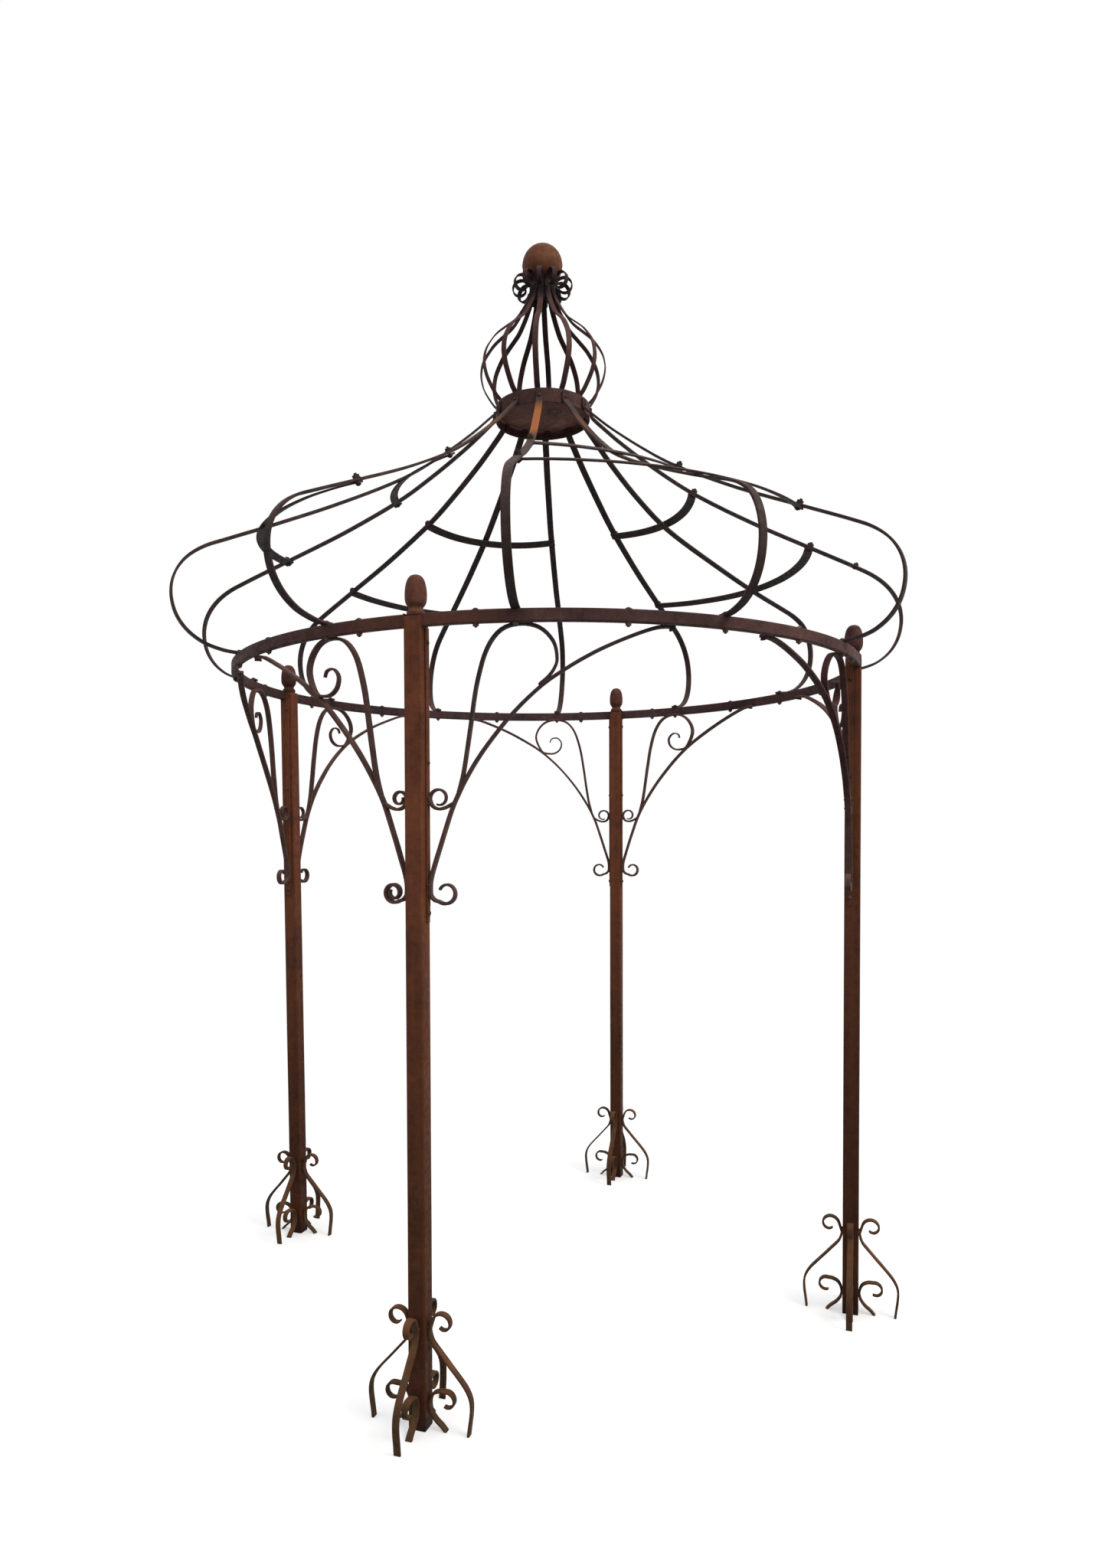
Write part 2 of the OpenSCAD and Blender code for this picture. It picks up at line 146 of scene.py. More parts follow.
def worked(tree, kind, how, *values, out=0):
    # A Math or VectorMath node with its inputs fed in order
    n = node(tree, "ShaderNode" + kind, operation=how)
    for target, value in zip(n.inputs, values):
        feed(tree, target, value)
    return n.outputs[out]

def ramp(tree, stops, source):
    # A colour ramp. A stop's colour may be one number, for grey
    r = node(tree, "ShaderNodeValToRGB")
    els = r.color_ramp.elements
    while len(els) < len(stops):
        els.new(0.5)
    for el, (at, colour) in zip(els, stops):
        el.position = at
        el.color = (*colour, 1) if hasattr(colour, "__len__") else (colour, colour, colour, 1)
    tree.links.new(source, r.inputs[0])
    return r.outputs[0]

def seen_directly(tree):
    # 1 for what the camera or a reflection sees, 0 for the light that falls on the iron
    path = node(tree, "ShaderNodeLightPath").outputs
    either = worked(tree, "Math", "MAXIMUM", path["Is Camera Ray"], path["Is Glossy Ray"])
    return worked(tree, "Math", "MAXIMUM", either, path["Is Transmission Ray"])

print("helpers for node trees are ready")

# %% [markdown]
# ## Light and ground
# Old iron outdoors is lit by a bright sky and hardly at all from the dark ground, so
# the faces that look down are nearly black. The world here is brightest in the haze
# along the horizon, dimmer a little above it and bright again overhead. One large
# soft lamp is the sun behind thin cloud. The ground and the background are pale only
# to the camera and to reflections: what the ground throws back onto the iron stays
# low, as earth and grass would.

# %% Sky and lamp
# From straight down at 0, past the horizon at 0.5, to straight up at 1
sky_blue, zenith = 1.02, (1.0, 1.0)
sky_levels = ((0.0, 0.06), (0.49, 1.30), (0.58, 0.55), (0.76, 1.05))
sky_stops = [(at, (v, v, v * sky_blue)) for at, v in sky_levels] + [zenith]
white = (1, 1, 1, 1)

world = bpy.data.worlds.new("thin_cloud")
scene.world = world
sky = blank(world)
sky_way = node(sky, "ShaderNodeSeparateXYZ")
wire(sky, (node(sky, "ShaderNodeTexCoord").outputs["Generated"], sky_way, 0))
sky_height = worked(sky, "Math", "MULTIPLY_ADD", sky_way.outputs["Z"], 0.5, 0.5)
sky_light = node(sky, "ShaderNodeBackground")
sky_white = node(sky, "ShaderNodeBackground", Color=white)
sky_mix, sky_out = node(sky, "ShaderNodeMixShader"), node(sky, "ShaderNodeOutputWorld")
sky_ramp = ramp(sky, sky_stops, sky_height)
wire(sky, (sky_ramp, sky_light, 0), (seen_directly(sky), sky_mix, 0), (sky_light, sky_mix, 1),
     (sky_white, sky_mix, 2), (sky_mix, sky_out, 0))

sun = bpy.data.lights.new("soft_sun", "AREA")
sun.shape, sun.size, sun.energy, sun.color = "DISK", 4.0, 420, (1.0, 0.955, 0.89)
sun_object = placed("soft_sun", sun)
sun_object.location = (3.0, -5.6, 8.0)
sun_aim = Vector((0, 0, 1.9)) - sun_object.location
sun_object.rotation_euler = sun_aim.to_track_quat("-Z", "Y").to_euler()
scene.view_settings.view_transform = "Standard"
print("sky stops:", len(sky_stops), "lamp power:", sun.energy)

# %% [markdown]
# The ground is two paints in one: a dark one that the iron is lit by, and a pale one
# that is seen, which keeps the soft shadows of the feet. Some metres out the pale one
# fades into the white of the sky, so no edge shows.

# %% Ground
ground_side, ground_z = 40.0, -0.0005
fade_from, fade_to = 2.0, 6.0

ground_paint = bpy.data.materials.new("pale_ground")
soil = blank(ground_paint)
g_dark = node(soil, "ShaderNodeBsdfDiffuse", Color=(0.20, 0.20, 0.19, 1))
g_pale = node(soil, "ShaderNodeBsdfDiffuse", Color=(0.55, 0.55, 0.55, 1))
g_lift = node(soil, "ShaderNodeEmission", Color=white, Strength=0.46)
g_white = node(soil, "ShaderNodeEmission", Color=white)
g_sum, g_out = node(soil, "ShaderNodeAddShader"), node(soil, "ShaderNodeOutputMaterial")
g_fade, g_mix = node(soil, "ShaderNodeMixShader"), node(soil, "ShaderNodeMixShader")
g_far = node(soil, "ShaderNodeMapRange", From_Min=fade_from, From_Max=fade_to)
g_here = node(soil, "ShaderNodeTexCoord").outputs["Object"]
wire(soil, (g_pale, g_sum, 0), (g_lift, g_sum, 1),
     (worked(soil, "VectorMath", "LENGTH", g_here, out=1), g_far, "Value"), (g_far, g_fade, 0),
     (g_sum, g_fade, 1), (g_white, g_fade, 2), (seen_directly(soil), g_mix, 0), (g_dark, g_mix, 1),
     (g_fade, g_mix, 2), (g_mix, g_out, 0))
ground_mesh = bpy.data.meshes.new("ground")
ground_mesh.from_pydata([(x * ground_side, y * ground_side, ground_z)
                         for x, y in ((-1, -1), (1, -1), (1, 1), (-1, 1))], [], [(0, 1, 2, 3)])
ground_mesh.materials.append(ground_paint)
ground = placed("ground", ground_mesh)
print("ground:", 2 * ground_side, "m wide, fading from", fade_from, "to", fade_to, "m")

# %% [markdown]
# ## Rust
# Every bar is bare iron that has rusted for years: dark brown scale with orange bloom
# where rain runs, near-black where it stays dry, and fine pits all over. One function
# builds the node tree, and each group of parts gets its own colours. Object
# coordinates are used, so the pattern runs on from one bar to the next and keeps its
# size. The way that a face looks gives upper faces more bloom than lower ones, which
# is how rain and dust really treat a bar, and it darkens the lower faces as painted
# shade.

# %% Patterns
def noise(tree, where, scale, detail=4.0, rough=0.6, twist=0.0):
    n = node(tree, "ShaderNodeTexNoise", Scale=scale, Detail=detail, Roughness=rough,
             Distortion=twist)
    tree.links.new(where, n.inputs["Vector"])
    return n.outputs[0]

def blend(tree, how, factor, a, b):
    # Two colours mixed, as outputs or as plain colours
    m = node(tree, "ShaderNodeMix", data_type="RGBA", blend_type=how)
    for target, value in ((m.inputs[0], factor), (m.inputs[6], a), (m.inputs[7], b)):
        feed(tree, target, value)
    return m.outputs[2]

def between(tree, value, low, high):
    # How far a number is on its way from low to high
    share = node(tree, "ShaderNodeMapRange", From_Min=low, From_Max=high)
    tree.links.new(value, share.inputs["Value"])
    return share.outputs[0]

def height_of(tree, vector):
    split = node(tree, "ShaderNodeSeparateXYZ")
    tree.links.new(vector, split.inputs[0])
    return split.outputs["Z"]

def spot(tree, here, centre, size, strength):
    # A soft-edged patch of this size round a place on the object
    away = worked(tree, "VectorMath", "SUBTRACT", here, centre)
    share = worked(tree, "VectorMath", "DIVIDE", away, size)
    reach = worked(tree, "VectorMath", "LENGTH", share, out=1)
    return ramp(tree, [(0.55, strength), (1.0, 0.0)], reach)

print("patterns: noise, blend, spot")

# %% [markdown]
# The rust is laid on in layers, as it grows: large patches first, then mottling and
# grains, the runs that rain draws down the posts, the difference between upper and
# lower faces, with painted shade on the lower ones, and moss near the ground. Roughness
# and bump come from finer patterns than the colour, so that the surface looks pitted
# and not only painted.

# %% Rust material
moss_green = (0.052, 0.048, 0.016)
moss_top, moss_full = 0.42, 0.02

def rust(name, scale_dark, body, bloom, bloom_share=0.5, streaks=False, moss=0.0, pit=0.0005,
         under=0.72, over=0.35, upper_colour=None, gloss=0.14, grain=0.55, spots=()):
    # under: how much dark scale the lower faces show, as kept scale and as painted shade.
    # over: how much dust, or bloom, lies on the upper ones. spots: (blend, centre, size,
    # colour, strength)
    m = bpy.data.materials.new(name)
    t = blank(m)
    here = node(t, "ShaderNodeTexCoord").outputs["Object"]
    # Large patches, from dark scale through the body colour to orange bloom
    edge = 0.62 - 0.16 * bloom_share
    colour = ramp(t, [(0.30, scale_dark), (0.46, body), (edge, body), (edge + 0.16, bloom)],
                  noise(t, here, 5.5, 6, 0.62, 0.4))
    # Hand-sized mottling and fine grains
    mottle = ramp(t, [(0.32, 0.62), (0.55, 1.0), (0.75, 1.28)], noise(t, here, 38, 5, 0.65))
    colour = blend(t, "MULTIPLY", 0.75, colour, mottle)
    grains = noise(t, here, 260, 3, 0.7)
    colour = blend(t, "MIX", ramp(t, [(0.60, 0.0), (0.72, grain)], grains), colour, bloom)
    colour = blend(t, "MIX", ramp(t, [(0.30, grain), (0.40, 0.0)], grains), colour, scale_dark)
    if streaks:
        # Rain draws the rust down the posts in long runs
        squash = node(t, "ShaderNodeMapping", Scale=(34, 34, 1.1))
        t.links.new(here, squash.inputs["Vector"])
        runs = ramp(t, [(0.46, 0.0), (0.66, 0.6)], noise(t, squash.outputs[0], 1.0, 4, 0.6, 0.2))
        colour = blend(t, "MIX", runs, colour, bloom)
    # Upper faces bloom or gather dust; lower faces keep their dark scale and are darkened as painted shade
    facing = node(t, "ShaderNodeNewGeometry").outputs["Normal"]
    facing_up = between(t, height_of(t, facing), -1.0, 1.0)
    colour = blend(t, "MIX", ramp(t, [(0.0, under), (0.40, 0.0)], facing_up), colour, scale_dark)
    colour = blend(t, "MIX", ramp(t, [(0.72, 0.0), (1.0, over)], facing_up), colour, upper_colour or bloom)
    for how, centre, size, tint, strength in spots:
        colour = blend(t, how, spot(t, here, centre, size, strength), colour, tint)
    if moss:
        near_ground = between(t, height_of(t, here), moss_top, moss_full)
        patch = ramp(t, [(0.50, 0.0), (0.62, moss)], noise(t, here, 26, 5, 0.7))
        share = worked(t, "Math", "MULTIPLY", patch, near_ground)
        colour = blend(t, "MIX", share, colour, moss_green)
    shine = ramp(t, [(0.35, 0.58), (0.7, 0.92)], noise(t, here, 70, 4, 0.6))
    # Pits and flakes
    flakes = node(t, "ShaderNodeTexVoronoi", feature="SMOOTH_F1", Scale=150.0)
    t.links.new(here, flakes.inputs["Vector"])
    height = worked(t, "Math", "MULTIPLY_ADD", flakes.outputs["Distance"], 0.45,
                    noise(t, here, 190, 5, 0.7))
    bump = node(t, "ShaderNodeBump", Strength=0.75, Distance=pit)
    skin = node(t, "ShaderNodeBsdfPrincipled", Specular_IOR_Level=gloss)
    out = node(t, "ShaderNodeOutputMaterial")
    wire(t, (colour, skin, "Base Color"), (shine, skin, "Roughness"), (height, bump, "Height"),
         (bump, skin, "Normal"), (skin, out, 0))
    return m

print("moss grows up to", moss_top, "m")

# %% [markdown]
# No two corners of the gazebo look alike. Some patches below are weathering, and
# others are painted shade and painted light. Each is a soft-edged place on the object
# that is darker, warmer or paler than the rest: how it is blended, where it is, how far
# it reaches, its colour and its strength.

# %% Weathered patches, painted shade and painted light
# The posts are darker towards the ground, and the front right post is painted with shade
darker_low = ("MULTIPLY", (0, 0, -0.55), (9.0, 9.0, 2.1), (0.46, 0.48, 0.46), 1.0)
shaded_post = ("MULTIPLY", (0.77, -0.77, 1.2), (0.5, 0.5, 9.0), (0.72, 0.73, 0.72), 1.0)
# One rib has lost its scale below the collar and rusted afresh
fresh = ("MIX", (-0.175, -0.30, 3.00), (0.19, 0.19, 0.20), (0.30, 0.095, 0.024), 0.9)
# The ring has painted sunlight on its front and paler, bluer painted sky light on its far
# side, and is orange round the welds of one post
sunlit_patch = ("MULTIPLY", (0.45, -1.00, 2.19), (0.62, 0.62, 0.4), (1.40, 1.35, 1.30), 1.0)
far_side_skylight = ("MULTIPLY", (0.49, 0.98, 2.19), (1.0, 1.0, 0.4), (1.25, 1.4, 1.6), 1.0)
by_the_weld = ("MIX", (-0.776, -0.776, 2.19), (0.28, 0.28, 0.28), (0.130, 0.044, 0.026), 0.42)
# The front brackets are painted with the roof's shade, and the neck under the ball is
# painted with the shade under the ball
shade = ("MULTIPLY", (-0.20, -0.80, 2.15), (0.70, 0.45, 0.65), (0.38, 0.48, 0.62), 1.0)
reddish_shade = ("MULTIPLY", (0.62, -0.80, 2.15), (0.45, 0.45, 0.65), (0.55, 0.42, 0.46), 1.0)
under_ball_shade = ("MULTIPLY", (0.0, 0.0, 3.600), (0.16, 0.16, 0.068), (0.55, 0.60, 0.72), 1.0)
# One finial is plum-coloured all over, and another is painted with shade below
plum = ("MULTIPLY", (0.768, -0.768, 2.27), (0.15, 0.15, 0.20), (0.60, 0.62, 0.95), 1.0)
finial_low_shade = ("MULTIPLY", (-0.75, 0.75, 2.235), (0.15, 0.15, 0.055), (0.50, 0.48, 0.50), 1.0)
print("fresh rust at height", fresh[1][2], "m")

# %% [markdown]
# Each group of parts has its own three colours: dark scale, body and bloom. The dark
# scale is also the colour of the painted shade on lower faces.

# %% Rust of each group
post_rust = rust("post_rust", (0.062, 0.024, 0.016), (0.128, 0.041, 0.020),
                 (0.170, 0.056, 0.023), 0.6, streaks=True, gloss=0.11, spots=(darker_low, shaded_post))
finial_rust = rust("finial_rust", (0.040, 0.016, 0.012), (0.110, 0.040, 0.025),
                   (0.170, 0.068, 0.038), 0.45, spots=(plum, finial_low_shade))
foot_rust = rust("foot_rust", (0.022, 0.013, 0.009), (0.074, 0.033, 0.016),
                 (0.160, 0.062, 0.023), 0.5, moss=0.85)
ring_rust = rust("ring_rust", (0.018, 0.010, 0.010), (0.053, 0.025, 0.023),
                 (0.092, 0.046, 0.036), 0.35, spots=(sunlit_patch, far_side_skylight, by_the_weld))
bracket_rust = rust("bracket_rust", (0.026, 0.016, 0.015), (0.085, 0.043, 0.036),
                    (0.150, 0.068, 0.046), 0.45, grain=0.35, spots=(shade, reddish_shade))
roof_rust = rust("roof_rust", (0.017, 0.014, 0.015), (0.044, 0.026, 0.023),
                 (0.098, 0.056, 0.044), 0.32, grain=0.3, spots=(fresh,))
crown_rust = rust("crown_rust", (0.015, 0.012, 0.014), (0.060, 0.027, 0.024),
                  (0.110, 0.050, 0.038), 0.35, grain=0.35, spots=(under_ball_shade,))
# The plate is painted much paler than its rust, as painted light that lifts its shaded underside. Its
# lower faces get no dark scale, and its upper faces are turned back to dark rust.
plate_rust = rust("plate_rust", (0.030, 0.017, 0.016), (0.170, 0.080, 0.066),
                  (0.400, 0.215, 0.160), 0.6, under=0.0, over=0.92, upper_colour=(0.046, 0.025, 0.020))
bolt_rust = rust("bolt_rust", (0.030, 0.020, 0.018), (0.100, 0.060, 0.048),
                 (0.210, 0.145, 0.110), 0.6)
ball_rust = rust("ball_rust", (0.060, 0.023, 0.015), (0.125, 0.046, 0.022),
                 (0.190, 0.077, 0.031), 0.5)
print("rust materials:", len([m for m in bpy.data.materials if m.name.endswith("rust")]))

# %% [markdown]
# ## Forging bars
# Nearly everything here is a flat bar bent along a line, so one Geometry Nodes tree
# makes them all. It takes a line whose points carry two facts: `side`, the way that
# the bar's width lies, and `full`, how much of its section is left where it tapers.
# It sweeps a rounded section along the line, closes the ends and lets the surface
# wander by a fraction of a millimetre, because nothing hammered is quite straight.
# Sweeping keeps the section true round the tightest scroll, which an array or a
# screw modifier would not.

# %% Helpers for geometry trees
def new_tree(name, *inputs):
    # A tree that takes and gives geometry. inputs: (name, kind) or (name, kind, value)
    tree = bpy.data.node_groups.new(name, "GeometryNodeTree")
    for label, kind, *value in (("Geometry", "Geometry"), *inputs):
        s = tree.interface.new_socket(label, in_out="INPUT", socket_type="NodeSocket" + kind)
        if value:
            s.default_value = value[0]
    tree.interface.new_socket("Geometry", in_out="OUTPUT", socket_type="NodeSocketGeometry")
    return tree, node(tree, "NodeGroupInput").outputs, node(tree, "NodeGroupOutput")

def named(tree, kind, name):
    # A fact that the points carry
    n = node(tree, "GeometryNodeInputNamedAttribute", data_type=kind)
    n.inputs[0].default_value = name
    return n.outputs[0]

def ended(tree, shape, paint, result):
    # Every tree ends in Realize Instances and Set Material: an export drops instances
    real, painted = node(tree, "GeometryNodeRealizeInstances"), node(tree, "GeometryNodeSetMaterial")
    wire(tree, (shape, real, 0), (real, painted, "Geometry"), (paint, painted, "Material"),
         (painted, result, 0))
    print(f"{tree.name}: {len(tree.nodes)} nodes")

print("helpers for geometry trees are ready")

# %% The forging tree
forging, f_in, f_out = new_tree(
    "forged_bar", ("Section", "Object"), ("Wander", "Float", 0.0004),
    ("Wander Size", "Float", 0.06), ("Seed", "Float", 1.0), ("Material", "Material"))
f_line, f_outline = node(forging, "GeometryNodeMeshToCurve"), node(forging, "GeometryNodeMeshToCurve")
f_turn = node(forging, "GeometryNodeSetCurveNormal", mode="FREE")
f_section = node(forging, "GeometryNodeObjectInfo")
f_sweep = node(forging, "GeometryNodeCurveToMesh", Fill_Caps=True)
f_place = node(forging, "GeometryNodeInputPosition").outputs[0]
f_noise = node(forging, "ShaderNodeTexNoise", noise_dimensions="4D", Detail=1.0, Scale=1.0)
f_amount = node(forging, "ShaderNodeVectorMath", operation="SCALE")
f_move, f_soft = node(forging, "GeometryNodeSetPosition"), node(forging, "GeometryNodeSetShadeSmooth")
wire(forging, (f_in["Geometry"], f_line, 0), (f_line, f_turn, 0),
     (named(forging, "FLOAT_VECTOR", "side"), f_turn, "Normal"), (f_in["Section"], f_section, 0),
     (f_section.outputs["Geometry"], f_outline, 0), (f_turn, f_sweep, "Curve"),
     (f_outline, f_sweep, "Profile Curve"), (named(forging, "FLOAT", "full"), f_sweep, "Scale"),
     (f_sweep, f_move, "Geometry"),
     (worked(forging, "VectorMath", "DIVIDE", f_place, f_in["Wander Size"]), f_noise, "Vector"),
     (f_in["Seed"], f_noise, "W"),
     (worked(forging, "VectorMath", "SUBTRACT", f_noise.outputs["Color"], (0.5, 0.5, 0.5)), f_amount, 0),
     (f_in["Wander"], f_amount, "Scale"), (f_amount, f_move, "Offset"), (f_move, f_soft, 0))
ended(forging, f_soft, f_in["Material"], f_out)

# %% [markdown]
# A section is a rectangle with rounded corners. Two extra points on each flat, close
# to the corner, keep the flats flat when the surface is shaded smooth. The tree's
# result becomes a plain mesh, which is cut off at the ground, kept inside the solids'
# box and given to the body that it rides on, while the solids that it stands for are
# hidden.

# %% Lines into pieces
flat_lead = 0.6
ground_cut = 0.0003

def raw(name, places, edges=(), **facts):
    # Points and edges for a tree to work on. facts: name=(kind, a value for each point)
    mesh = bpy.data.meshes.new(name)
    mesh.from_pydata([tuple(p) for p in places], list(edges), [])
    for fact, (kind, values) in facts.items():
        layer = mesh.attributes.new(fact, kind, "POINT")
        numbers = [tuple(v) for v in values] if kind == "FLOAT_VECTOR" else values
        numbers = np.array(numbers, np.int32 if kind == "INT" else np.float32)
        layer.data.foreach_set("vector" if kind == "FLOAT_VECTOR" else "value", numbers.ravel())
    return placed(name, mesh)

def section(width, thickness, corner):
    points = []
    lead = flat_lead * corner
    for sx, sy, start in ((1, -1, -90), (1, 1, 0), (-1, 1, 90), (-1, -1, 180)):
        cx, cy = sx * (width / 2 - corner), sy * (thickness / 2 - corner)
        bend = [(cx + corner * math.cos(math.radians(start + a)),
                 cy + corner * math.sin(math.radians(start + a))) for a in (0, 45, 90)]
        along_x, along_y = (lead * sx, 0), (0, lead * sy)
        first, last = (along_x, along_y) if start in (-90, 90) else (along_y, along_x)
        points += [(bend[0][0] - first[0], bend[0][1] - first[1]), *bend,
                   (bend[2][0] - last[0], bend[2][1] - last[1])]
    count = len(points)
    return raw("section", [(x, y, 0) for x, y in points], [(i, (i + 1) % count) for i in range(count)])

def applied(thing, tree, name, **inputs):
    # Sets the tree's inputs by identifier, reads the result as a plain mesh, drops the modifier
    step = thing.modifiers.new(tree.name, "NODES")
    step.node_group = tree
    for item in tree.interface.items_tree:
        key = item.name.replace(" ", "_")
        if item.in_out == "INPUT" and key in inputs:
            step[item.identifier] = inputs[key]
    bpy.context.view_layer.update()
    whole = thing.evaluated_get(bpy.context.evaluated_depsgraph_get())
    result = bpy.data.meshes.new_from_object(whole)
    bpy.data.objects.remove(thing)
    result.name = name
    return placed(name, result)

def finished(piece, stands_for=()):
    mesh = piece.data
    bm = bmesh.new()
    bm.from_mesh(mesh)
    if min(v.co.z for v in bm.verts) < 0.0:
        bmesh.ops.bisect_plane(bm, geom=bm.verts[:] + bm.edges[:] + bm.faces[:],
                               plane_co=(0, 0, ground_cut), plane_no=(0, 0, -1), clear_outer=True)
        bmesh.ops.holes_fill(bm, edges=[e for e in bm.edges if e.is_boundary], sides=0)
    for v in bm.verts:
        v.co.x = min(max(v.co.x, cad_low.x), cad_high.x)
        v.co.y = min(max(v.co.y, cad_low.y), cad_high.y)
    if bm.calc_volume(signed=True) < 0:
        bmesh.ops.reverse_faces(bm, faces=bm.faces[:])
    open_edges = sum(1 for e in bm.edges if e.is_boundary)
    bm.to_mesh(mesh)
    bm.free()
    for fact in ("side", "full"):
        if fact in mesh.attributes:
            mesh.attributes.remove(mesh.attributes[fact])
    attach(piece, "root")
    if stands_for:
        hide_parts(*stands_for)
    mesh.calc_loop_triangles()
    print(f"{piece.name}: {len(mesh.loop_triangles)} triangles, {open_edges} open edges")

def forge(name, lines, width, thickness, corner, paint, stands_for=(),
          wander=0.0004, size=0.06, seed=1.0):
    # lines: (points, sides, full, closed)
    verts, edges, sides, full = [], [], [], []
    for points, side, share, closed in lines:
        start = len(verts)
        verts += points
        sides += side
        full += share
        edges += [(start + i, start + i + 1) for i in range(len(points) - 1)]
        if closed:
            edges.append((len(verts) - 1, start))
    thing = raw(name + "_lines", verts, edges, side=("FLOAT_VECTOR", sides), full=("FLOAT", full))
    outline = section(width, thickness, corner)
    piece = applied(thing, forging, name, Section=outline, Wander=wander, Wander_Size=size,
                    Seed=seed, Material=paint)
    bpy.data.objects.remove(outline)
    finished(piece, stands_for)

print("pieces are cut off", ground_cut, "m above the ground")

# %% [markdown]
# ## Lines
# The smith's lines are drawn flat first: as distance out and height, in metres. A
# smooth line passes through all its points, and a spiral closes each scroll.

# %% Drawing helpers
thin_end = 0.72

def smooth(points, steps):
    # A line through all the points, with this many steps from each to the next
    P = [np.array(p, float) for p in points]
    at = lambda i: P[max(0, min(len(P) - 1, i))]
    out = []
    for i in range(len(P) - 1):
        a, b, c, d = at(i - 1), P[i], P[i + 1], at(i + 2)
        for k in range(steps):
            t = k / steps
            out.append(0.5 * (2 * b + (c - a) * t + (2 * a - 5 * b + 4 * c - d) * t * t
                              + (3 * b - a - 3 * c + d) * t ** 3))
    return out + [P[-1]]

def spiral(centre, r0, r1, a0, a1, n):
    # From radius r0 at angle a0 to radius r1 at angle a1
    line = []
    for i in range(n + 1):
        a = math.radians(a0 + (a1 - a0) * i / n)
        line.append(np.array(centre, float)
                    + (r0 + (r1 - r0) * i / n) * np.array([math.cos(a), math.sin(a)]))
    return line

def fade(n, first, last, share=0.5):
    # The section left along n points: first, then tapering to last over its final share
    return [first + (last - first) * max(0.0, (i / (n - 1) - (1 - share)) / share) for i in range(n)]

def out_at(azimuth):
    a = math.radians(azimuth)
    return Vector((math.cos(a), math.sin(a), 0))

def at_height(v, z):
    return v + Vector((0, 0, z))

print("a smooth line of 3 points in steps of 2:", len(smooth([(0, 0), (1, 1), (2, 0)], 2)), "points")

# %% [markdown]
# The heights come from the solids, so that the bars meet them wherever they stand.

# %% Main sizes
corners = {"front_left": -135, "front_right": -45, "back_right": 45, "back_left": 135}
sides = {"front": -135, "right": -45, "back": 45, "left": 135}
ring_r, ring_d = 1.098, 0.020
post_w = 0.051
post_r = ring_r - 0.012
post_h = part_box("post_front_left")[1].z
ring_bottom, ring_top = (corner.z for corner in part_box("ring_front"))
collar_low, collar_top = (corner.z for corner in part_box("collar_band"))
print("post", round(post_h, 3), "ring", round(ring_bottom, 3), round(ring_top, 3),
      "collar", round(collar_low, 3), round(collar_top, 3))

# %% [markdown]
# ## Posts
# Each post is a square steel tube with small rolled corners. They are swept with the
# same tree as the bars, from the ground to the ring. The back left one leans: its
# foot has moved in by 24 mm, and its finial, scroll feet and their welds lean with it.

# %% Posts
lean_in = {"back_left": 0.024}

def standing(corner, x, y, z):
    # A point of a post's own frame (x outwards, y along the ring) in the gazebo's frame
    a = math.asin(lean_in.get(corner, 0.0) / post_h)
    dz = z - post_h
    x, z = (post_r + x * math.cos(a) + dz * math.sin(a),
            post_h - x * math.sin(a) + dz * math.cos(a))
    e = out_at(corners[corner])
    return Vector((e.x * x - e.y * y, e.y * x + e.x * y, z))

def post_line(corner):
    heights = np.linspace(-0.004, post_h, 30)
    across = out_at(corners[corner] + 90)
    return [standing(corner, 0, 0, z) for z in heights], [across] * 30, [1.0] * 30, False

forge("posts", [post_line(c) for c in corners], post_w, post_w, 0.004, post_rust,
      ["post_" + c for c in corners], wander=0.0012, size=0.5, seed=2.0)

# %% [markdown]
# ## Finials
# A casting like an acorn stands on each post: a saucer, a short neck, and a nut that
# is fullest below its middle. A turned shape is drawn as half an outline and spun,
# which gives an even mesh that catches the light smoothly.

# %% Turned pieces
spin_steps = 48

def turn(name, outlines, paint, stands_for, steps=spin_steps):
    # outlines: (points as radius and height, function from x, y, z to a place)
    spun = [2 * math.pi * k / steps for k in range(steps)]
    bm = bmesh.new()
    for points, place in outlines:
        rows = []
        for r, z in points:
            if r < 1e-6:
                rows.append([bm.verts.new(place(0, 0, z))])
            else:
                rows.append([bm.verts.new(place(r * math.cos(a), r * math.sin(a), z)) for a in spun])
        for low, high in zip(rows, rows[1:]):
            for k in range(steps):
                patch = dict.fromkeys((low[k % len(low)], low[(k + 1) % len(low)],
                                       high[(k + 1) % len(high)], high[k % len(high)]))
                if len(patch) > 2:
                    bm.faces.new(list(patch))
        for row in (rows[0], rows[-1]):
            if len(row) > 1:
                bm.faces.new(row)
    bmesh.ops.recalc_face_normals(bm, faces=bm.faces[:])
    mesh = bpy.data.meshes.new(name)
    bm.to_mesh(mesh)
    bm.free()
    mesh.materials.append(paint)
    for p in mesh.polygons:
        p.use_smooth = True
    finished(placed(name, mesh), stands_for)

print("a turned piece has", spin_steps, "sides")

# %% Finials
finial_r, finial_h, nut_h = 0.030, 0.113, 0.086
finial_base = [(0.66, 0), (0.75, 0.0008), (0.82, 0.0040), (0.845, 0.0085), (0.82, 0.0130),
               (0.74, 0.0162), (0.665, 0.0190), (0.640, 0.0225)]
finial_nut = [(0.70, 0.0), (0.835, 0.06), (0.925, 0.125), (0.985, 0.215), (1.0, 0.34),
              (0.985, 0.50), (0.92, 0.66), (0.82, 0.79), (0.68, 0.885), (0.50, 0.953), (0.26, 0.990)]
finial_outline = smooth([(r * finial_r, z) for r, z in finial_base]
                        + [(r * finial_r, finial_h - nut_h + share * nut_h) for r, share in finial_nut], 3)
finial_outline = ([(0, 0)] + [tuple(p) for p in finial_outline]
                  + [(0.0012, finial_h - 0.0002), (0, finial_h)])

def on_post(corner):
    return lambda x, y, z: standing(corner, x, y, z + post_h)

